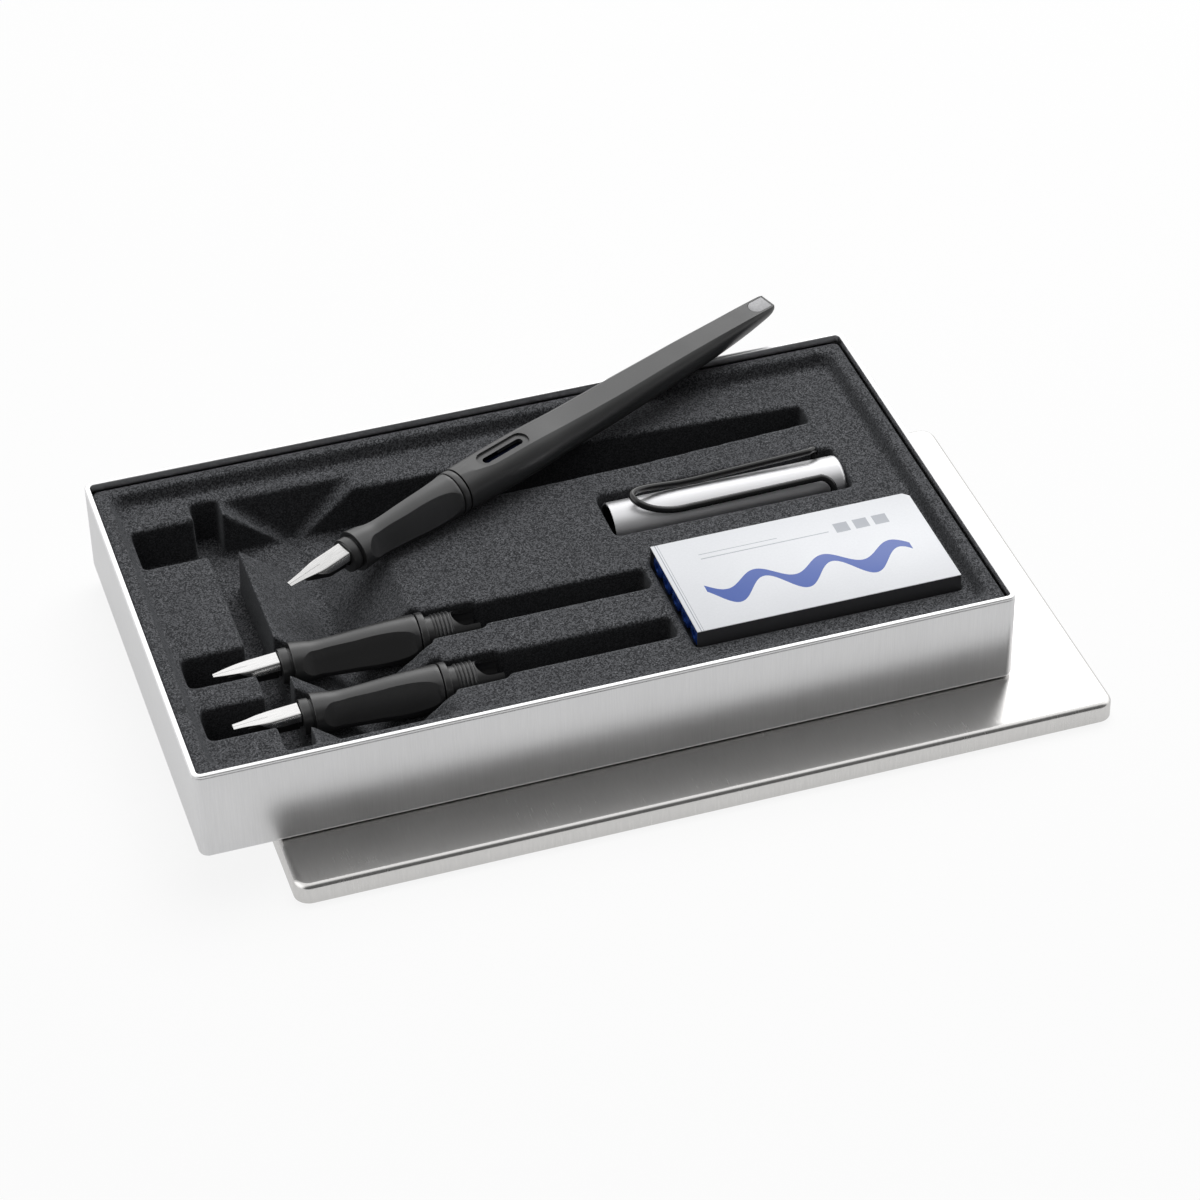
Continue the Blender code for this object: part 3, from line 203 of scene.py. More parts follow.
# Cap
CAP_LENGTH = 0.0665
CAP_RADIUS = 0.0071
CAP_WALL = 0.00035
CAP_END_WALL = 0.0010
CAP_END_EDGE = 0.0012
CAP_MOUTH_EDGE = 0.00003
CAP_ANGLE = 28.0
LINER_WALL = 0.0003
LINER_GAP = 0.00015
LINER_LENGTH = 0.0590
LINER_SET_BACK = 0.0004
PLUG_RADIUS = 0.0049
PLUG_FLANGE = 0.0014
CLIP_WIRE = 0.00095
CLIP_ANGLE = 50.0
CLIP_END_TURN = 0.0002
CLIP_HOLE_FROM_END = 0.0048
CLIP_LEG_HALF = 0.0052
CLIP_LEG_RISE = 0.0081
CLIP_WAIST_HALF = 0.0047
CLIP_WAIST_RISE = 0.0070
CLIP_LOOP_HALF = 0.0060
CLIP_FLARE_HALF = 0.0078
CLIP_INNER_HALF = 0.0060
CLIP_BEND_RADIUS = 0.0030
CLIP_BEND_STEPS = 12
CLIP_LOOP_STEPS = 28
CLIP_LOOP_FROM_MOUTH = 0.0062
CLIP_LOOP_LENGTH = 0.0150
CLIP_LOOP_LIFT = 0.0033
CLIP_LOOP_DIP = 0.0040

# Ink pack
PACK_HEIGHT = 0.0087
PACK_CARTRIDGES = 5
SLEEVE_EDGE = 0.00016
PACK_TRAY_EDGE = 0.0001

# Plain print on the pack, from its left front corner: places as (low, high)
PRINT_DEPTH = 0.00015
WAVE_LENGTH = 0.0190
WAVE_SWING = 0.0034
WAVE_MIDDLE = 0.0150
WAVE_HALF_WIDTH = 0.0025
WAVE_SWELL = 0.0011
WAVE_TURN = 0.7
WAVE_SPAN = (0.0080, 0.0655)
PRINT_LINES = (((0.02880, 0.02915), (0.0110, 0.0470)),
               ((0.03080, 0.03105), (0.0110, 0.0330)))
SQUARES_ACROSS = (0.0278, 0.0318)
SQUARES_SPAN = (0.0490, 0.0655)
SQUARES_STEP = 0.0055
SQUARE_SHARE = 0.72
EDGE_LINES = ((0.00105, 0.00130), (0.00175, 0.00190))

# Camera, worked out from the tray's corners in the photograph; distances in tray lengths
CAMERA_AZIMUTH = math.radians(-17.066)
CAMERA_ELEVATION = math.radians(38.112)
CAMERA_ROLL = math.radians(-1.423)
CAMERA_RIGHT = 0.07008609
CAMERA_UP = 0.02155196
CAMERA_BACK = 4.789352
CAMERA_SENSOR = 36.0
CAMERA_FOCAL_PIXELS = 3902.934
PHOTO_PIXELS = 1200.0

# Floor, and lamps as heading and rise in degrees, distance, size and watts
FLOOR_RADIUS = 6.0
FLOOR_LIGHT = 0.86
FLOOR_IN_METAL = 0.70
KEY_LAMP = (35.0, 60.0, 1.6, 1.2, 18.0)
FILL_LAMP = (215.0, 40.0, 1.8, 1.2, 2.0)

# Room around the set: strengths between two heights of a direction, then
# heading, rise, and strengths between two cosines of the angle from there
LOW_ROOM = (0.0, 0.6, 1.0, 1.45)
HIGH_ROOM = (0.65, 1.0, 1.0, 0.66)
BRIGHT_SIDE = (30.0, 33.0, 0.94, 0.99, 1.0, 1.9)
DARK_SIDE = (172.0, 10.0, 0.25, 0.75, 1.0, 0.08)
SOFT_LIGHT = (0.0, 60.0, -0.3, 1.0, 0.04, 0.50)


# Meshes

def eased(rows, count):
    """Rows of (place, values) as count + 1 rows, joined by curves that never overshoot."""
    places = [row[0] for row in rows]
    columns = []
    for column in range(1, len(rows[0])):
        values = [row[column] for row in rows]
        steps = [(values[i + 1] - values[i]) / (places[i + 1] - places[i])
                 for i in range(len(rows) - 1)]
        slopes = [steps[0]]
        for before, after in zip(steps, steps[1:]):
            flat = before * after <= 0.0
            slopes.append(0.0 if flat else 2.0 * before * after / (before + after))
        slopes.append(steps[-1])
        columns.append((values, slopes))
    made = []
    for step in range(count + 1):
        place = places[0] + (places[-1] - places[0]) * step / count
        index = max(i for i in range(len(rows) - 1) if places[i] <= place + 1e-12)
        length = places[index + 1] - places[index]
        t = (place - places[index]) / length
        row = [place]
        for values, slopes in columns:
            row.append((2 * t ** 3 - 3 * t ** 2 + 1) * values[index] +
                       (t ** 3 - 2 * t ** 2 + t) * length * slopes[index] +
                       (3 * t ** 2 - 2 * t ** 3) * values[index + 1] +
                       (t ** 3 - t ** 2) * length * slopes[index + 1])
        made.append(tuple(row))
    return made


def quarter(steps):
    """Sines and cosines at even steps of a quarter turn."""
    angles = [step / steps * math.pi / 2 for step in range(steps + 1)]
    return [(math.sin(angle), math.cos(angle)) for angle in angles]


def lathe(profile, closed=False, sides=SIDES):
    """A profile of (distance along X, radius) turned about X."""
    bm = bmesh.new()
    rows = []
    for along, radius in profile:
        if radius < MERGE:
            rows.append([bm.verts.new((along, 0.0, 0.0))])
            continue
        row = []
        for side in range(sides):
            angle = side / sides * math.tau
            row.append(bm.verts.new((along, radius * math.sin(angle), radius * math.cos(angle))))
        rows.append(row)
    pairs = list(zip(rows, rows[1:]))
    if closed:
        pairs.append((rows[-1], rows[0]))
    for row, following in pairs:
        for i in range(sides):
            j = (i + 1) % sides
            corners = [row[i % len(row)], row[j % len(row)],
                       following[j % len(following)], following[i % len(following)]]
            corners = list(dict.fromkeys(corners))
            if len(corners) > 2:
                bm.faces.new(corners)
    bmesh.ops.recalc_face_normals(bm, faces=bm.faces)
    return bm


def bridge(bm, rows):
    """Joins closed rows of vertices and caps the first."""
    count = len(rows[0])
    for row, following in zip(rows, rows[1:]):
        for i in range(count):
            j = (i + 1) % count
            bm.faces.new((row[i], row[j], following[j], following[i]))
    bm.faces.new(list(reversed(rows[0])))


def loft(rings):
    """Joins closed rings of points and caps both ends."""
    bm = bmesh.new()
    rows = [[bm.verts.new(point) for point in ring] for ring in rings]
    bridge(bm, rows)
    bm.faces.new(rows[-1])
    bmesh.ops.recalc_face_normals(bm, faces=bm.faces)
    return bm


def prism(points, axis_a, axis_b, start, stop):
    """A flat outline given on two axes, pushed along the third."""
    rings = []
    for level in (start, stop):
        ring = []
        for a, b in points:
            point = [level, level, level]
            point[axis_a], point[axis_b] = a, b
            ring.append(point)
        rings.append(ring)
    return loft(rings)


def rounded(left, right, front, back, corner, steps):
    """The points of a rectangle with round corners, seen from above."""
    centres = ((right - corner, front + corner, -1), (right - corner, back - corner, 0),
               (left + corner, back - corner, 1), (left + corner, front + corner, 2))
    points = []
    for x, y, turn in centres:
        for step in range(steps + 1):
            angle = (turn + step / steps) * math.pi / 2
            points.append((x + corner * math.cos(angle), y + corner * math.sin(angle)))
    return points


def stadium(left, length, width):
    """A slot's outline with round ends."""
    half = width / 2
    points = []
    for centre, start in ((left + length - half, -1), (left + half, 1)):
        for step in range(ARC_STEPS + 1):
            angle = (start / 2 + step / ARC_STEPS) * math.pi
            points.append((centre + half * math.cos(angle), half * math.sin(angle)))
    return points


def piece(name, bm, look, matrix=None, angle=SHARP_ANGLE):
    """A smooth-shaded object whose edges over the angle stay sharp."""
    mesh = bpy.data.meshes.new(name)
    bm.to_mesh(mesh)
    bm.free()
    mesh.shade_smooth()
    mesh.set_sharp_from_angle(angle=math.radians(angle))
    made = bpy.data.objects.new(name, mesh)
    SCENE.collection.objects.link(made)
    if matrix:
        made.matrix_world = matrix
    if look:
        mesh.materials.append(look)
    return made


def settle(made, cutters=(), angle=SHARP_ANGLE):
    """Applies the modifiers of an object and removes its cutters."""
    bpy.context.view_layer.update()
    graph = bpy.context.evaluated_depsgraph_get()
    mesh = bpy.data.meshes.new_from_object(made.evaluated_get(graph), depsgraph=graph)
    made.modifiers.clear()
    made.data = mesh
    for cutter in cutters:
        bpy.data.objects.remove(cutter, do_unlink=True)
    mesh.shade_smooth()
    mesh.set_sharp_from_angle(angle=math.radians(angle))
    return made


def cut(made, bm, matrix):
    """Cuts one object with a shape and returns the cutter."""
    cutter = piece(made.name + "_cutter", bm, None, matrix)
    boolean = made.modifiers.new("cut", "BOOLEAN")
    boolean.operation = "DIFFERENCE"
    boolean.solver = "EXACT"
    boolean.object = cutter
    return cutter


def wall(made, thickness, even=False):
    """Gives an open surface its thickness, on the inside."""
    solid = made.modifiers.new("wall", "SOLIDIFY")
    solid.thickness = thickness
    solid.offset = -1.0
    solid.use_even_offset = even


def soften(made, width):
    """Small round edges."""
    bevel = made.modifiers.new("edges", "BEVEL")
    bevel.width = width
    bevel.segments = 2


def dress(node, look, width):
    """A copy of a CAD node with its flat faces joined and its edges softened."""
    bm = bmesh.new()
    bm.from_mesh(NODES[node].data)
    bmesh.ops.remove_doubles(bm, verts=bm.verts, dist=MERGE)
    bmesh.ops.dissolve_limit(bm, angle_limit=FLAT_ANGLE, verts=bm.verts, edges=bm.edges)
    made = piece(node + "_shown", bm, look)
    soften(made, width)
    return settle(made)


def stands_for(made, body, node):
    """Puts a piece on its body in place of its CAD node, with its turn kept in its mesh."""
    place, turn, _ = made.matrix_world.decompose()
    made.data.transform(turn.to_matrix().to_4x4())
    made.matrix_world = Matrix.Translation(place)
    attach(made, body)
    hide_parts(node)
    return made


# Materials

class Tree:
    """A node tree, with a few short ways to add nodes."""

    def __init__(self, tree):
        self.tree = tree

    def put(self, socket, value):
        """Links a socket to another, or sets it to a value."""
        if isinstance(value, bpy.types.NodeSocket):
            self.tree.links.new(value, socket)
        elif value is not None:
            socket.default_value = value

    def add(self, kind, *given):
        """A node with its first inputs linked or set."""
        node = self.tree.nodes.new("ShaderNode" + kind)
        for socket, value in zip(node.inputs, given):
            self.put(socket, value)
        return node

    def sum(self, operation, *given):
        """A Math node."""
        node = self.add("Math", *given)
        node.operation = operation
        return node.outputs[0]

    def spread(self, value, low, high, to_low, to_high, curve="LINEAR"):
        """Maps a range of values to another."""
        node = self.add("MapRange", value, low, high, to_low, to_high)
        node.interpolation_type = curve
        return node.outputs[0]


class Look(Tree):
    """A material: its main shader and its textures, turned to a heading."""

    def __init__(self, name, colour, roughness, metallic=0.0, heading=0.0, **plain):
        self.material = bpy.data.materials.new(name)
        self.material.use_nodes = True
        super().__init__(self.material.node_tree)
        self.shader = self.tree.nodes["Principled BSDF"]
        plain.update(Base_Color=(*colour, 1.0), Roughness=roughness, Metallic=metallic)
        for socket, value in plain.items():
            self.shader.inputs[socket.replace("_", " ")].default_value = value
        place = self.add("TexCoord").outputs["Object"]
        turn = self.add("VectorRotate", place, None, None, -heading)
        turn.rotation_type = "Z_AXIS"
        self.spot = turn.outputs["Vector"]

    def noise(self, scale, detail=3.0, rough=0.5):
        """Noise whose grains are 1 / scale long, on all axes or on each."""
        if not isinstance(scale, tuple):
            scale = (scale,) * 3
        place = self.add("Mapping", self.spot, None, None, scale).outputs["Vector"]
        return self.add("TexNoise", place, None, 1.0, detail, rough).outputs["Fac"]

    def cells(self, scale, output="Distance"):
        """Small cells, by their distance or their colour."""
        return self.add("TexVoronoi", self.spot, None, scale).outputs[output]

    def mix(self, factor, a, b):
        """Mixes two colours."""
        node = self.add("Mix", factor)
        node.data_type = "RGBA"
        for socket, value in zip(node.inputs[6:8], (a, b)):
            self.put(socket, (*value, 1.0) if isinstance(value, tuple) else value)
        return node.outputs[2]

    def between(self, value, low, high, a, b, most=1.0):
        """Mixes two colours by a value's place in a range."""
        return self.mix(self.spread(value, low, high, 0.0, most), a, b)

    def bump(self, height, strength, distance, before=None):
        """Adds height detail to the shader's normal."""
        node = self.add("Bump", strength, distance)
        self.put(node.inputs["Height"], height)
        self.put(node.inputs["Normal"], before)
        self.put(self.shader.inputs["Normal"], node.outputs["Normal"])
        return node.outputs["Normal"]

    def colour(self, value):
        """Drives the base colour."""
        self.put(self.shader.inputs["Base Color"], value)

    def rough(self, value):
        """Drives the roughness."""
        self.put(self.shader.inputs["Roughness"], value)


def shade(colour, factor):
    """A colour times a number."""
    return tuple(value * factor for value in colour)


def metal_look(name, colour, roughness, streaks, depth, contrast=0.03, heading=0.0):
    """Drawn or brushed metal: fine streaks, faint smudges and hairline scratches."""
    look = Look(name, colour, roughness, 1.0, heading)
    grain = look.noise(streaks, 4.0, 0.65)
    smudge = look.noise(55.0, 4.0, 0.6)
    scratch = look.noise((900.0, 60.0, 400.0), 2.0)
    line = look.spread(scratch, 0.66, 0.70, 0.0, 1.0)
    tone = look.between(grain, 0.3, 0.7, shade(colour, 1.02 - contrast * 1.6),
                        shade(colour, 1.02))
    look.colour(look.between(smudge, 0.35, 0.7, tone, shade(colour, 0.95), 0.12))
    base = look.spread(smudge, 0.3, 0.7, roughness * 0.95, roughness * 1.06)
    base = look.sum("ADD", base, look.spread(grain, 0.3, 0.7, -0.02, 0.02))
    look.rough(look.sum("ADD", base, look.sum("MULTIPLY", line, 0.012)))
    fine = look.bump(grain, depth, 0.00002)
    look.bump(smudge, 0.012, 0.0001, fine)
    return look.material


def plastic_look(name, tone, roughness, grain, specular):
    """Moulded black plastic: a fine spark-eroded grain and slightly uneven sheen."""
    look = Look(name, (tone, tone, tone * 1.04), roughness, Specular_IOR_Level=specular)
    fine = look.noise(grain, 3.0, 0.6)
    cloud = look.noise(160.0)
    look.colour(look.between(fine, 0.3, 0.7, (tone * 0.86,) * 3,
                             (tone * 1.14, tone * 1.15, tone * 1.19)))
    look.rough(look.spread(cloud, 0.3, 0.7, roughness * 0.92, roughness * 1.12))
    look.bump(fine, 0.16, 0.00003)
    return look.material


def flock_look():
    """Charcoal flock: salt-and-pepper specks, short fibres, and painted shade that darkens steep
    walls.
    """
    look = Look("charcoal_flock", (0.050, 0.051, 0.055), 0.95, Specular_IOR_Level=0.1,
                Sheen_Weight=0.2, Sheen_Roughness=0.6, Sheen_Tint=(0.75, 0.78, 0.82, 1.0))
    speck = look.cells(FLOCK_CELLS, "Color")
    cloud = look.noise(90.0, 4.0)
    fibre = look.noise(4200.0, 2.0, 0.7)
    tone = look.between(speck, 0.35, 0.65, (0.018, 0.0185, 0.020), (0.108, 0.110, 0.117))
    tone = look.between(speck, 0.84, 0.92, tone, (0.21, 0.214, 0.226), 0.8)
    tone = look.between(cloud, 0.35, 0.65, tone, (0.045, 0.046, 0.050), 0.2)
    # Painted shade: the steeper the surface, the more its colour goes to near-black, standing in
    # for the shadow on the pocket walls.
    level = look.add("SeparateXYZ", look.add("TexCoord").outputs["Normal"]).outputs[2]
    look.colour(look.mix(look.spread(level, 0.25, 0.90, 0.72, 0.0), tone, (0.008, 0.008, 0.009)))
    first = look.bump(look.cells(FLOCK_CELLS), 0.5, 0.00014)
    look.bump(fibre, 0.35, 0.0001, first)
    return look.material


def card_look():
    """White coated card with sides darkened, partly print and partly painted shade, and a plain
    print: a broad wave, thin lines, squares.
    """
    paper = (0.80, 0.815, 0.845)
    look = Look("printed_card", paper, 0.36, Coat_Weight=0.25, Coat_Roughness=0.25)
    x, y, z = look.add("SeparateXYZ", look.spot).outputs

    def within(value, low, high):
        """1 where a value lies between two others."""
        above = look.sum("GREATER_THAN", value, low)
        return look.sum("MULTIPLY", above, look.sum("LESS_THAN", value, high))

    def both(first, second):
        """1 where both are 1."""
        return look.sum("MULTIPLY", first, second)

    top = look.sum("GREATER_THAN", z, PACK_HEIGHT - PRINT_DEPTH)
    turn = look.sum("MULTIPLY", x, math.tau / WAVE_LENGTH)
    middle = look.sum("MULTIPLY", look.sum("SINE", turn), WAVE_SWING)
    middle = look.sum("ADD", middle, WAVE_MIDDLE)
    weight = look.sum("COSINE", look.sum("ADD", turn, WAVE_TURN))
    half = look.sum("ADD", look.sum("MULTIPLY", weight, WAVE_SWELL), WAVE_HALF_WIDTH)
    away = look.sum("ABSOLUTE", look.sum("SUBTRACT", y, middle))
    wave = both(both(look.sum("LESS_THAN", away, half), within(x, *WAVE_SPAN)), top)
    step = look.sum("DIVIDE", look.sum("SUBTRACT", x, SQUARES_SPAN[0]), SQUARES_STEP)
    grey = both(both(within(y, *SQUARES_ACROSS), within(x, *SQUARES_SPAN)),
                look.sum("LESS_THAN", look.sum("FRACT", step), SQUARE_SHARE))
    for across, along in PRINT_LINES:
        grey = look.sum("ADD", grey, both(within(y, *across), within(x, *along)))
    for span in EDGE_LINES:
        grey = look.sum("ADD", grey, within(x, *span))
    grey = both(look.sum("MINIMUM", grey, 1.0), top)
    fibre = look.noise(1500.0, 3.0, 0.6)
    cloud = look.noise(70.0)
    tone = look.between(fibre, 0.35, 0.65, shade(paper, 0.975), shade(paper, 1.01))
    tone = look.between(cloud, 0.4, 0.7, tone, shade(paper, 0.9), 0.12)
    tone = look.mix(grey, tone, (0.40, 0.42, 0.46))
    tone = look.mix(wave, tone, (0.040, 0.095, 0.38))
    # The sides below the top go dark grey: partly the card's print, partly painted shade.
    look.colour(look.mix(look.sum("SUBTRACT", 1.0, top), tone, (0.058, 0.058, 0.062)))
    look.rough(look.spread(cloud, 0.3, 0.7, 0.32, 0.42))
    look.bump(fibre, 0.06, 0.00003)
    return look.material


def dark_card_look():
    """Dark grey uncoated card."""
    look = Look("dark_card", (0.05, 0.05, 0.055), 0.7, Specular_IOR_Level=0.3)
    fibre = look.noise(1400.0, 4.0, 0.7)
    look.colour(look.between(fibre, 0.3, 0.7, (0.036, 0.036, 0.040), (0.066, 0.067, 0.072)))
    look.rough(look.spread(fibre, 0.3, 0.7, 0.62, 0.78))
    look.bump(fibre, 0.2, 0.00004)
    return look.material


def ink_look(name, deep, pale):
    """A clear polyethylene cartridge full of ink."""
    look = Look(name, deep, 0.22, Transmission_Weight=0.25, IOR=1.45, Coat_Weight=0.3,
                Coat_Roughness=0.15)
    swirl = look.noise((210.0, 420.0, 420.0))
    fine = look.noise(1800.0, 2.0)
    look.colour(look.between(swirl, 0.3, 0.7, deep, pale))
    look.rough(look.spread(swirl, 0.3, 0.7, 0.18, 0.28))
    look.bump(fine, 0.08, 0.00003)
    return look.material


def inlay_look():
    """Light grey printed inlay."""
    look = Look("tail_inlay", (0.40, 0.40, 0.41), 0.38)
    fine = look.noise(1600.0)
    cloud = look.noise(300.0, 2.0)
    look.colour(look.between(fine, 0.3, 0.7, (0.37, 0.37, 0.38), (0.45, 0.45, 0.46)))
    look.rough(look.spread(cloud, 0.3, 0.7, 0.34, 0.46))
    look.bump(fine, 0.1, 0.00002)
    return look.material


TIN = metal_look("tin_aluminium", (0.84, 0.84, 0.845), 0.36, (3300.0, 3300.0, 130.0), 0.05,
                 0.05)
LID_TIN = metal_look("lid_aluminium", (0.80, 0.79, 0.775), 0.25, (2600.0, 220.0, 220.0), 0.05,
                     0.05)
CAP_METAL = metal_look("cap_aluminium", (0.82, 0.82, 0.835), 0.44, (260.0, 2600.0, 2600.0), 0.03)
NIB_METAL = ((0.68, 0.675, 0.67), 0.24, (110.0, 2600.0, 2600.0), 0.03, 0.08)
STEEL = metal_look("nib_steel", *NIB_METAL)
PEN_STEEL = metal_look("pen_nib_steel", *NIB_METAL, PEN_HEADING)
PLASTIC = plastic_look("matte_plastic", 0.024, 0.33, 2600.0, 0.9)
BLACK = plastic_look("black_plastic", 0.014, 0.34, 2200.0, 0.5)
WIRE = plastic_look("black_wire", 0.008, 0.16, 3000.0, 0.6)
FLOCK = flock_look()
CARD = card_look()
DARK_CARD = dark_card_look()
INK = ink_look("ink_cartridge", (0.010, 0.045, 0.30), (0.045, 0.14, 0.62))
DARK_INK = ink_look("dark_ink_cartridge", (0.004, 0.006, 0.016), (0.010, 0.014, 0.040))
INLAY = inlay_look()


# Tin

def pan(name, length, width, corner, edge, rim, look, matrix):
    """A pressed pan: floor, round lower edge, walls, and the steps of its rim."""
    outline = rounded(-length / 2, length / 2, -width / 2, width / 2, corner, PAN_CORNER_STEPS)
    levels = [(edge - edge * sine, edge - edge * cosine)
              for sine, cosine in quarter(PAN_EDGE_STEPS)] + rim
    bm = bmesh.new()
    rows = []
    for inset, level in levels:
        row = []
        for x, y in outline:
            over_x = max(abs(x) - (length / 2 - corner), 0.0)
            over_y = max(abs(y) - (width / 2 - corner), 0.0)
            reach = math.hypot(over_x, over_y)
            row.append(bm.verts.new((x - math.copysign(over_x / reach, x) * inset,
                                     y - math.copysign(over_y / reach, y) * inset, level)))
        rows.append(row)
    bridge(bm, rows)
    made = piece(name, bm, look, matrix)
    wall(made, SHEET, True)
    return settle(made)


def middle_of(node):
    """The middle of a CAD node's box, and its lowest and highest corners."""
    low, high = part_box(node)
    return (low + high) / 2, low, high


def make_tin():
    """The tray with its rolled rim, and the lid under it."""
    middle, low, _ = middle_of("tray")
    groove_top = TRAY_HEIGHT - HEM_GROOVE_DROP
    groove_bottom = groove_top - HEM_GROOVE_HEIGHT
    rim = [(0.0, groove_bottom - TOUCH), (HEM_GROOVE_LIP, groove_bottom),
           (HEM_GROOVE_DEPTH, groove_bottom + HEM_GROOVE_ROUND),
           (HEM_GROOVE_DEPTH, groove_top - HEM_GROOVE_ROUND), (HEM_GROOVE_LIP, groove_top)]
    for turn, centre in enumerate((HEM_ROUND, HEM_WIDTH - HEM_ROUND)):
        for step in range(5):
            angle = (turn + step / 4) * math.pi / 2
            rim.append((centre - HEM_ROUND * math.cos(angle),
                        TRAY_HEIGHT - HEM_ROUND + HEM_ROUND * math.sin(angle)))
    rim.append((HEM_WIDTH, TRAY_HEIGHT - HEM_DEPTH))
    place = Matrix.Translation((middle.x, middle.y, low.z))
    tray = pan("tray_tin", TRAY_LENGTH, TRAY_WIDTH, TRAY_CORNER, TRAY_BOTTOM_EDGE, rim, TIN, place)
    stands_for(tray, "tray", "tray")
    middle, _, high = middle_of("lid")
    more = SHEET + LID_CLEARANCE
    place = Matrix.Translation((middle.x, middle.y, high.z)) @ Matrix.Rotation(math.pi, 4, "X")
    lid = pan("lid_tin", TRAY_LENGTH + 2 * more, TRAY_WIDTH + 2 * more, LID_CORNER,
              LID_TOP_EDGE, [(0.0, LID_HEIGHT)], LID_TIN, place)
    stands_for(lid, "lid", "lid")


def make_insert():
    """The flocked liner: the CAD sheet's outer skin, with the soft edges of a formed sheet."""
    bm = bmesh.new()
    bm.from_mesh(NODES["insert"].data)
    bmesh.ops.remove_doubles(bm, verts=bm.verts, dist=MERGE)
    foot = min(vertex.co.z for vertex in bm.verts)
    low_faces = [face for face in bm.faces
                 if all(vertex.co.z < foot + TOUCH for vertex in face.verts)]
    bmesh.ops.delete(bm, geom=low_faces, context="FACES_ONLY")
    start = max(bm.verts, key=lambda vertex: vertex.co.z)
    found, waiting = {start}, [start]
    while waiting:
        vertex = waiting.pop()
        for edge in vertex.link_edges:
            other = edge.other_vert(vertex)
            if other not in found:
                found.add(other)
                waiting.append(other)
    bmesh.ops.delete(bm, geom=[v for v in bm.verts if v not in found], context="VERTS")
    bmesh.ops.holes_fill(bm, edges=[edge for edge in bm.edges if edge.is_boundary])
    made = piece("insert_flock", bm, FLOCK)
    remesh = made.modifiers.new("remesh", "REMESH")
    remesh.mode = "VOXEL"
    remesh.voxel_size = INSERT_GRID[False]
    relax = made.modifiers.new("relax", "SMOOTH")
    relax.factor = 0.5
    relax.iterations = INSERT_ROUNDS[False]
    thin = made.modifiers.new("thin", "DECIMATE")
    thin.ratio = INSERT_KEPT_FACES
    settle(made, angle=SMOOTH_ANGLE)
    bm = bmesh.new()
    bm.from_mesh(made.data)
    low_faces = [face for face in bm.faces if face.normal.z < INSERT_DOWN and
                 face.calc_center_median().z < foot + INSERT_FOOT]
    bmesh.ops.delete(bm, geom=low_faces, context="FACES")
    bm.to_mesh(made.data)
    bm.free()
    wall(made, INSERT_SHEET)
    stands_for(made, "insert", "insert")


# Pen

def section_profile():
    """Outside and bore of a grip section, as a closed profile."""
    grip = GRIP_END - GRIP_START
    points = [(COLLAR_START, FEED_BORE_RADIUS), (COLLAR_START, COLLAR_RADIUS - COLLAR_EDGE),
              (COLLAR_START + COLLAR_EDGE_MIDDLE, COLLAR_RADIUS - COLLAR_EDGE_MIDDLE),
              (COLLAR_START + COLLAR_EDGE, COLLAR_RADIUS),
              (COLLAR_END - FINE_EDGE, COLLAR_RADIUS), (COLLAR_END, COLLAR_RADIUS - FINE_EDGE),
              (COLLAR_END, GRIP_GROOVE_RADIUS), (GRIP_START, GRIP_GROOVE_RADIUS),
              (GRIP_START, GRIP_RADIUS * GRIP_FRONT_SHARE)]
    points += [(GRIP_START + grip * place + FINE_EDGE * (1.0 - place), GRIP_RADIUS * share)
               for place, share in eased(GRIP_POINTS, GRIP_STEPS)]
    points += [(GRIP_END - GRIP_EDGE * 0.3, GRIP_RADIUS - GRIP_EDGE * 0.3),
               (GRIP_END, GRIP_RADIUS - GRIP_EDGE), (GRIP_END, SPIGOT_RADIUS)]
    for turn in range(THREAD_COUNT):
        foot = THREAD_START + turn * THREAD_PITCH
        points += [(foot, SPIGOT_RADIUS),
                   (foot + THREAD_PITCH * 0.40, THREAD_RADIUS - THREAD_CREST),
                   (foot + THREAD_PITCH * 0.50, THREAD_RADIUS),
                   (foot + THREAD_PITCH * 0.60, THREAD_RADIUS - THREAD_CREST)]
    points += [(THREAD_START + THREAD_COUNT * THREAD_PITCH, FORK_RADIUS),
               (FORK_END - FORK_EDGE, FORK_RADIUS), (FORK_END, FORK_RADIUS - FORK_EDGE),
               (FORK_END, SOCKET_RADIUS), (SOCKET_START, SOCKET_RADIUS),
               (SOCKET_START, FEED_BORE_RADIUS)]
    return points


def make_section(prefix, body, matrix):
    """Collar, grip with two scooped flats, thread and forked tail."""
    made = piece(prefix + "_section_shown", lathe(section_profile(), True), PLASTIC, matrix)
    grip = GRIP_END - GRIP_START
    scoop = [(GRIP_START + grip * place, GRIP_RADIUS * share)
             for place, share in eased(FLAT_POINTS, FLAT_STEPS)]
    reach = GRIP_RADIUS + OVERRUN
    outline = scoop + [(scoop[-1][0], reach), (scoop[0][0], reach)]
    cutters = []
    for side in (-1, 1):
        turn = matrix @ Matrix.Rotation(side * FLAT_TURN, 4, "X")
        cutters.append(cut(made, prism(outline, 0, 2, -reach, reach), turn))
    slot = stadium(FORK_SLOT_START, 2 * (FORK_END - FORK_SLOT_START), FORK_SLOT_WIDTH)
    cutters.append(cut(made, prism(slot, 0, 1, -reach, reach), matrix))
    settle(made, cutters, SECTION_ANGLE)
    stands_for(made, body, prefix + "_section")


def make_ring(prefix, body, matrix):
    """The plain ring between grip and barrel."""
    inner = SPIGOT_RADIUS + GAP
    profile = [(RING_START, inner)]
    for start, sign in ((RING_START, 1), (RING_END, -1)):
        for sine, cosine in quarter(4)[::sign]:
            profile.append((start + sign * RING_EDGE * (1 - cosine),
                            RING_RADIUS - RING_EDGE + RING_EDGE * sine))
    profile.append((RING_END, inner))
    made = piece(prefix + "_ring_shown", lathe(profile, True), PLASTIC, matrix)
    stands_for(made, body, prefix + "_ring")


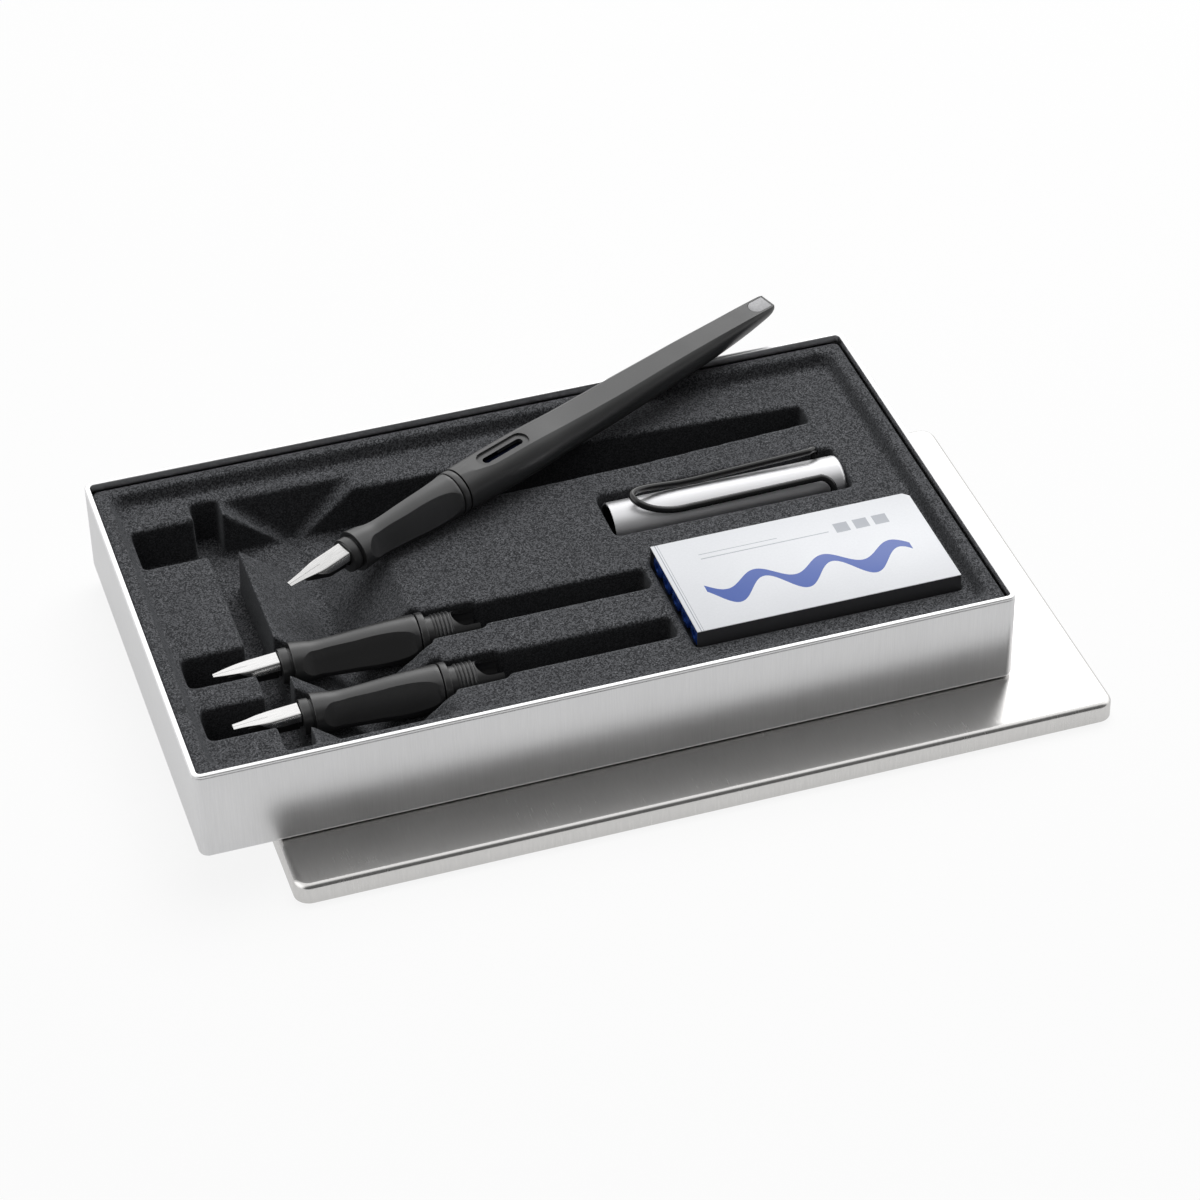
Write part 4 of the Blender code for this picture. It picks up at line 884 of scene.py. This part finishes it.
def make_nib(prefix, body, matrix):
    """A folded steel nib with a slit: a flat top, a round fold, and wings over the feed."""
    tip_half, reach = NIB_TIPS[prefix]
    rows = [(along if along else -reach, half or tip_half, spread, drop)
            for along, half, spread, drop in NIB_STATIONS]
    bm = bmesh.new()
    for sign in (-1, 1):
        grid = []
        for along, half, spread, drop in eased(rows, NIB_STEPS):
            top = NIB_TIP_RISE + (NIB_END_RISE - NIB_TIP_RISE) * along / NIB_END
            gap = SLIT_HALF if along < SLIT_END else 0.0
            across = [(gap, top), (half * 0.5, top - 0.00001), (half * 0.82, top - NIB_CROWN)]
            bend = min(NIB_BEND, spread * 0.7)
            for step in range(5):
                t = step / 4
                side = half - bend * (1 - t) ** 2 + spread * 0.3 * t * t
                across.append((side, top - NIB_CROWN - drop * 0.12 * t * t))
            across.append((half + spread * 0.72, top - drop * 0.55))
            across.append((half + spread, top - drop))
            grid.append([bm.verts.new((along, sign * side, level)) for side, level in across])
        for row, following in zip(grid, grid[1:]):
            for i in range(len(row) - 1):
                bm.faces.new((row[i], following[i], following[i + 1], row[i + 1]))
    bmesh.ops.remove_doubles(bm, verts=bm.verts, dist=NIB_MERGE)
    bmesh.ops.recalc_face_normals(bm, faces=bm.faces)
    if sum(face.normal.z for face in bm.faces) < 0.0:
        bmesh.ops.reverse_faces(bm, faces=bm.faces)
    steel = PEN_STEEL if prefix == "pen" else STEEL
    made = piece(prefix + "_nib_shown", bm, steel, matrix, NIB_ANGLE)
    wall(made, NIB_SHEET)
    settle(made, angle=NIB_ANGLE)
    stands_for(made, body, prefix + "_nib")


def barrel_at(along):
    """Half width, flat's height, lift and underside of the barrel at a place on the pen."""
    share = (along - BARREL_START) / BARREL_LENGTH
    for low, high in zip(BARREL_ROWS, BARREL_ROWS[1:]):
        if share <= high[0]:
            mix = (share - low[0]) / (high[0] - low[0])
            return [BARREL_RADIUS * (a + (b - a) * mix) for a, b in zip(low[1:], high[1:])]
    return [BARREL_RADIUS * value for value in BARREL_ROWS[-1][1:]]


def barrel_ring(place, half, flat, lift, under):
    """One cross-section of the barrel: round, with its top cut flat."""
    half_angle = math.acos((flat - lift) / half)
    half_width = half * math.sin(half_angle)
    across, around = 6, 64
    ring = [(place, half_width * (2 * step / across - 1), flat) for step in range(across)]
    for step in range(around):
        angle = half_angle + (math.tau - 2 * half_angle) * step / around
        height = half if math.cos(angle) > 0.0 else lift + under
        ring.append((place, half * math.sin(angle), lift + height * math.cos(angle)))
    return ring


def inlay_shape(grow, proud):
    """The small inlay at the tail, or the seat that it lies in."""
    right = BARREL_START + BARREL_LENGTH - INLAY_FROM_END
    left = right - INLAY_LENGTH
    low, high = barrel_at(left)[1], barrel_at(right)[1]
    slope = (high - low) / INLAY_LENGTH
    half = INLAY_WIDTH / 2 + grow
    outline = [(right + grow, half)]
    for step in range(ARC_STEPS + 1):
        angle = (1 / 2 + step / ARC_STEPS) * math.pi
        outline.append((left - grow + half + half * math.cos(angle), half * math.sin(angle)))
    outline.append((right + grow, -half))
    rings = []
    for lift in (-INLAY_THICKNESS - grow, proud):
        rings.append([(x, y, low + slope * (x - left) + lift) for x, y in outline])
    return loft(rings)


def make_barrel(matrix):
    """The long barrel: round at the ring, flat-topped behind it, thin at the tail."""
    rings = []
    for row in eased(BARREL_ROWS, BARREL_STEPS):
        values = [BARREL_RADIUS * value for value in row[1:]]
        rings.append(barrel_ring(BARREL_START + BARREL_LENGTH * row[0], *values))
    made = piece("pen_barrel_shown", loft(rings), PLASTIC, matrix)
    spigot = THREAD_RADIUS + GAP
    fork = FORK_RADIUS + GAP
    bore = [(BARREL_START - OVERRUN, 0.0), (BARREL_START - OVERRUN, spigot),
            (FORK_SLOT_START, spigot), (FORK_SLOT_START, fork), (BORE_WALL_END, fork),
            (BORE_WALL_END, CARTRIDGE_BORE_RADIUS),
            (CARTRIDGE_BORE_END, CARTRIDGE_BORE_REAR), (CARTRIDGE_BORE_END, 0.0)]
    cutters = [cut(made, lathe(bore), matrix)]
    flat = barrel_at(WINDOW_START + WINDOW_LENGTH)[1]
    top = BARREL_RADIUS + OVERRUN
    oval = stadium(WINDOW_START, WINDOW_LENGTH, WINDOW_WIDTH)
    cutters.append(cut(made, prism(oval, 0, 1, flat - WINDOW_DEPTH, top), matrix))
    slot = stadium(WINDOW_START + WINDOW_SLOT_INSET, WINDOW_LENGTH - 2 * WINDOW_SLOT_INSET,
                   WINDOW_SLOT_WIDTH)
    cutters.append(cut(made, prism(slot, 0, 1, 0.0, top), matrix))
    cutters.append(cut(made, inlay_shape(GAP / 3, OVERRUN), matrix))
    settle(made, cutters, BARREL_ANGLE)
    stands_for(made, "pen_barrel_body", "pen_barrel")
    inlay = piece("pen_tail_inlay_shown", inlay_shape(0.0, 0.0), INLAY, matrix)
    soften(inlay, INLAY_EDGE)
    settle(inlay)
    stands_for(inlay, "pen_barrel_body", "pen_tail_inlay")


def cartridge_profile(front, length):
    """An ink cartridge from its neck to its rear end."""
    hole = NIPPLE_RADIUS + GAP
    hole_end = front + max(NIPPLE_END + GAP - front, CARTRIDGE_EDGE)
    neck_end = front + CARTRIDGE_NECK_LENGTH
    rear = front + length
    edge = CARTRIDGE_EDGE
    points = [(hole_end, 0.0), (hole_end, hole), (front + FINE_EDGE, hole),
              (front, hole + FINE_EDGE), (front, CARTRIDGE_NECK_RADIUS - CARTRIDGE_NECK_EDGE),
              (front + FINE_EDGE, CARTRIDGE_NECK_RADIUS - FINE_EDGE),
              (front + CARTRIDGE_NECK_EDGE, CARTRIDGE_NECK_RADIUS),
              (neck_end, CARTRIDGE_NECK_RADIUS),
              (neck_end + CARTRIDGE_STEP_LENGTH * 0.5,
               (CARTRIDGE_NECK_RADIUS + CARTRIDGE_RADIUS) / 2 + 0.00006),
              (neck_end + CARTRIDGE_STEP_LENGTH, CARTRIDGE_RADIUS)]
    points += [(rear - edge + edge * sine, CARTRIDGE_REAR_RADIUS - edge + edge * cosine)
               for sine, cosine in quarter(5)]
    points.append((rear, 0.0))
    return points


def make_cartridge(node, body, matrix, front, look):
    """An ink cartridge of its CAD node's length."""
    inverse = matrix.inverted()
    places = [(inverse @ vertex.co).x for vertex in NODES[node].data.vertices]
    start = min(places)
    made = piece(node + "_shown", lathe(cartridge_profile(front, max(places) - start), sides=48),
                 look, matrix @ Matrix.Translation((start - front, 0.0, 0.0)))
    stands_for(made, body, node)


def pen_matrix():
    """The pen's own frame, from the joint that its section turns on."""
    joint = JOINTS["section_turn"]
    along = -Vector(joint["axis"]).normalized()
    place = Vector(joint["pos_m"]) - along * THREAD_START
    turn = (Matrix.Rotation(math.atan2(along.y, along.x), 4, "Z") @
            Matrix.Rotation(-math.asin(along.z), 4, "Y") @ Matrix.Rotation(PEN_ROLL, 4, "X"))
    return Matrix.Translation(place) @ turn


def make_fronts():
    """The pen and the two spare fronts."""
    pen = pen_matrix()
    fronts = [("pen", "pen_section_body", "pen_ring_body", pen)]
    for number in (1, 2):
        prefix = "spare_%d" % number
        ring_middle = middle_of(prefix + "_ring")[0]
        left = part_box(prefix + "_section")[0].x - COLLAR_START
        place = Matrix.Translation((left, ring_middle.y, ring_middle.z))
        fronts.append((prefix, prefix, prefix, place))
    for prefix, body, ring_body, matrix in fronts:
        make_section(prefix, body, matrix)
        make_ring(prefix, ring_body, matrix)
        make_nib(prefix, body, matrix)
        feed = dress(prefix + "_feed", BLACK, FEED_EDGE)
        stands_for(feed, body, prefix + "_feed")
    make_barrel(pen)
    make_cartridge("pen_cartridge", "pen_section_body", pen, PEN_CARTRIDGE_START, DARK_INK)


# Cap

def clip_points():
    """Centre line of the clip's wire, from one side hole round the loop to the other."""
    hole = CAP_LENGTH - CLIP_HOLE_FROM_END
    bend = CLIP_BEND_RADIUS
    side = [(hole, CLIP_INNER_HALF, 0.0), (hole, CLIP_FLARE_HALF - CLIP_WIRE, 0.0),
            (hole, CLIP_FLARE_HALF - CLIP_END_TURN, CLIP_WIRE * 0.35),
            (hole, CLIP_FLARE_HALF, CLIP_WIRE)]
    for step in range(CLIP_BEND_STEPS + 1):
        mix = step / CLIP_BEND_STEPS
        angle = mix * math.pi / 2
        side.append((hole - bend + bend * math.cos(angle),
                     CLIP_FLARE_HALF + (CLIP_LEG_HALF - CLIP_FLARE_HALF) * mix,
                     CLIP_LEG_RISE - bend + bend * math.sin(angle)))
    loop_end = CLIP_LOOP_FROM_MOUTH + CLIP_LOOP_LENGTH
    side.append((loop_end + CLIP_LOOP_DIP, CLIP_WAIST_HALF, CLIP_WAIST_RISE))
    loop = []
    for step in range(CLIP_LOOP_STEPS + 1):
        angle = step / CLIP_LOOP_STEPS * math.pi
        half = CLIP_WAIST_HALF + (CLIP_LOOP_HALF - CLIP_WAIST_HALF) * math.sin(angle)
        loop.append((loop_end - CLIP_LOOP_LENGTH * math.sin(angle), half * math.cos(angle),
                     CLIP_WAIST_RISE + CLIP_LOOP_LIFT * math.sin(angle) ** 2))
    return side + loop + [(x, -y, z) for x, y, z in reversed(side)]


def make_clip(matrix):
    """The wire clip: a long loop whose ends turn into the cap's side holes."""
    curve = bpy.data.curves.new("cap_clip_shown", "CURVE")
    curve.dimensions = "3D"
    curve.bevel_depth = CLIP_WIRE
    curve.bevel_resolution = 6
    curve.use_fill_caps = True
    spline = curve.splines.new("POLY")
    points = clip_points()
    spline.points.add(len(points) - 1)
    for point, place in zip(spline.points, points):
        point.co = (*place, 1.0)
    spline.use_smooth = True
    wire = bpy.data.objects.new("cap_clip_shown", curve)
    SCENE.collection.objects.link(wire)
    bm = bmesh.new()
    bm.from_mesh(bpy.data.meshes.new_from_object(wire))
    bpy.data.objects.remove(wire, do_unlink=True)
    made = piece("cap_clip_shown", bm, WIRE, matrix, CLIP_ANGLE)
    stands_for(made, "clip", "cap_clip")


def make_cap():
    """The cap's tube, liner, end plug and clip."""
    joint = JOINTS["clip_flex"]
    axis = Vector(joint["axis"])
    place = Vector(joint["pos_m"]) - Vector((CAP_LENGTH - CLIP_HOLE_FROM_END, 0.0, 0.0))
    matrix = Matrix.Translation(place) @ Matrix.Rotation(math.atan2(axis.z, axis.y), 4, "X")
    inner = CAP_RADIUS - CAP_WALL
    plug_hole = PLUG_RADIUS + GAP
    end = CAP_LENGTH
    tube = [(0.0, inner), (0.0, CAP_RADIUS - FINE_EDGE),
            (CAP_MOUTH_EDGE, CAP_RADIUS - CAP_MOUTH_EDGE), (FINE_EDGE, CAP_RADIUS)]
    tube += [(end - CAP_END_EDGE + CAP_END_EDGE * sine,
              CAP_RADIUS - CAP_END_EDGE + CAP_END_EDGE * cosine) for sine, cosine in quarter(10)]
    tube += [(end, plug_hole), (end - CAP_END_WALL, plug_hole), (end - CAP_END_WALL, inner)]
    made = piece("cap_tube_shown", lathe(tube, True, 128), CAP_METAL, matrix)
    reach = CAP_RADIUS + OVERRUN
    hole = CLIP_WIRE + FINE_EDGE
    drill = lathe([(-reach, 0.0), (-reach, hole), (reach, hole), (reach, 0.0)], sides=32)
    across = matrix @ Matrix.Translation((end - CLIP_HOLE_FROM_END, 0.0, 0.0))
    cutters = [cut(made, drill, across @ Matrix.Rotation(math.pi / 2, 4, "Z"))]
    settle(made, cutters, CAP_ANGLE)
    stands_for(made, "cap", "cap_tube")
    outer = inner - LINER_GAP
    bottom = LINER_LENGTH - LINER_WALL
    liner = [(bottom, 0.0), (bottom, outer - LINER_WALL), (LINER_SET_BACK, outer - LINER_WALL),
             (LINER_SET_BACK, outer), (LINER_LENGTH, outer), (LINER_LENGTH, 0.0)]
    flange_end = end - CAP_END_WALL - GAP
    plug = [(flange_end - PLUG_FLANGE, 0.0), (flange_end - PLUG_FLANGE, outer),
            (flange_end, outer), (flange_end, PLUG_RADIUS), (end - GAP, PLUG_RADIUS),
            (end - GAP / 3, PLUG_RADIUS - GAP / 4), (end, PLUG_RADIUS - GAP), (end, 0.0)]
    for node, profile in (("cap_liner", liner), ("cap_end_plug", plug)):
        made = piece(node + "_shown", lathe(profile), BLACK, matrix)
        stands_for(made, "cap", node)
    make_clip(matrix)


# Ink pack

def make_pack():
    """The card sleeve, its inner tray and the cartridges."""
    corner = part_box("pack_sleeve")[0]
    place = Matrix.Translation(corner)
    sleeve = dress("pack_sleeve", CARD, SLEEVE_EDGE)
    sleeve.data.transform(place.inverted())
    sleeve.matrix_world = place
    stands_for(sleeve, "pack", "pack_sleeve")
    tray = dress("pack_tray", DARK_CARD, PACK_TRAY_EDGE)
    stands_for(tray, "pack", "pack_tray")
    for number in range(1, PACK_CARTRIDGES + 1):
        node = "pack_cartridge_%d" % number
        middle, low, _ = middle_of(node)
        make_cartridge(node, "pack", Matrix.Translation((low.x, middle.y, middle.z)), 0.0, INK)


make_tin()
make_insert()
make_fronts()
make_cap()
make_pack()


# Floor, light and camera

def make_floor():
    """A plain pale floor that goes on to the horizon."""
    bm = bmesh.new()
    bmesh.ops.create_circle(bm, cap_ends=True, segments=64, radius=FLOOR_RADIUS)
    look = Look("pale_floor", (0.92,) * 3, 0.9, Specular_IOR_Level=0.1)
    look.colour(look.between(look.noise(6.0, 2.0), 0.3, 0.7, (0.91,) * 3, (0.93,) * 3))
    path = look.add("LightPath").outputs
    strength = look.sum("MULTIPLY", path["Is Camera Ray"], 1.0 - FLOOR_IN_METAL)
    light = look.add("Emission", None, look.sum("ADD", strength, FLOOR_IN_METAL))
    seen = look.sum("MAXIMUM", path["Is Camera Ray"], path["Is Glossy Ray"])
    seen = look.sum("MAXIMUM", seen, path["Is Transmission Ray"])
    mix = look.add("MixShader", look.sum("MULTIPLY", seen, FLOOR_LIGHT), look.shader.outputs[0],
                   light.outputs[0])
    look.put(look.tree.nodes["Material Output"].inputs["Surface"], mix.outputs[0])
    piece("floor", bm, look.material)


def direction(heading, rise):
    """A unit vector from a heading, clockwise from +Y, and a rise, both in degrees."""
    turn, lift = math.radians(heading), math.radians(rise)
    return Vector((math.sin(turn) * math.cos(lift), math.cos(turn) * math.cos(lift),
                   math.sin(lift)))


def make_world():
    """Soft studio: white to the camera, to metal a pale room with a dark side at the front."""
    SCENE.world = bpy.data.worlds.new("studio")
    SCENE.world.use_nodes = True
    tree = Tree(SCENE.world.node_tree)
    way = tree.add("TexCoord").outputs["Generated"]
    height = tree.add("SeparateXYZ", way).outputs[2]

    def around(heading, rise, *strengths):
        """A strength that changes with the angle from a heading and a rise."""
        node = tree.add("VectorMath", way, direction(heading, rise))
        node.operation = "DOT_PRODUCT"
        return tree.spread(node.outputs["Value"], *strengths, "SMOOTHSTEP")

    room = tree.spread(height, *LOW_ROOM, "SMOOTHSTEP")
    room = tree.sum("MULTIPLY", room, tree.spread(height, *HIGH_ROOM, "SMOOTHSTEP"))
    room = tree.sum("MULTIPLY", room, around(*BRIGHT_SIDE))
    room = tree.sum("MULTIPLY", room, around(*DARK_SIDE))
    soft = around(*SOFT_LIGHT)
    path = tree.add("LightPath").outputs
    shiny = tree.sum("MAXIMUM", path["Is Glossy Ray"], path["Is Transmission Ray"])
    level = tree.sum("MULTIPLY", tree.sum("SUBTRACT", room, soft), shiny)
    level = tree.sum("ADD", level, soft)
    seen = path["Is Camera Ray"]
    level = tree.sum("ADD", tree.sum("MULTIPLY", level, tree.sum("SUBTRACT", 1.0, seen)), seen)
    background = tree.tree.nodes["Background"]
    background.inputs["Color"].default_value = (1.0, 1.0, 1.0, 1.0)
    tree.put(background.inputs["Strength"], level)


def make_lamp(name, heading, rise, away, size, watts):
    """A square soft light that looks at the set's middle."""
    data = bpy.data.lights.new(name, "AREA")
    data.shape = "SQUARE"
    data.size = size
    data.energy = watts
    made = bpy.data.objects.new(name, data)
    SCENE.collection.objects.link(made)
    spot = direction(heading, rise)
    made.location = spot * away
    made.visible_glossy = False
    made.rotation_euler = spot.to_track_quat("Z", "Y").to_euler()


def make_camera():
    """The photograph's viewpoint."""
    azimuth, level = CAMERA_AZIMUTH, math.cos(CAMERA_ELEVATION)
    back = Vector((math.sin(azimuth) * level, -math.cos(azimuth) * level,
                   math.sin(CAMERA_ELEVATION)))
    right = Vector((math.cos(azimuth), math.sin(azimuth), 0.0))
    up = back.cross(right)
    turned_right = right * math.cos(CAMERA_ROLL) + up * math.sin(CAMERA_ROLL)
    turned_up = up * math.cos(CAMERA_ROLL) - right * math.sin(CAMERA_ROLL)
    middle, low, _ = middle_of("tray")
    away = turned_right * CAMERA_RIGHT + turned_up * CAMERA_UP + back * CAMERA_BACK
    eye = Vector((middle.x, middle.y, low.z)) + away * TRAY_LENGTH
    data = bpy.data.cameras.new("camera")
    data.sensor_width = CAMERA_SENSOR
    data.lens = CAMERA_FOCAL_PIXELS / PHOTO_PIXELS * CAMERA_SENSOR
    data.clip_start = 0.01
    data.clip_end = 30.0
    made = bpy.data.objects.new("camera", data)
    SCENE.collection.objects.link(made)
    matrix = Matrix((turned_right, turned_up, back)).transposed().to_4x4()
    matrix.translation = eye
    made.matrix_world = matrix
    SCENE.camera = made


make_floor()
make_world()
make_lamp("key", *KEY_LAMP)
make_lamp("fill", *FILL_LAMP)
make_camera()
SCENE.view_settings.view_transform = "Standard"
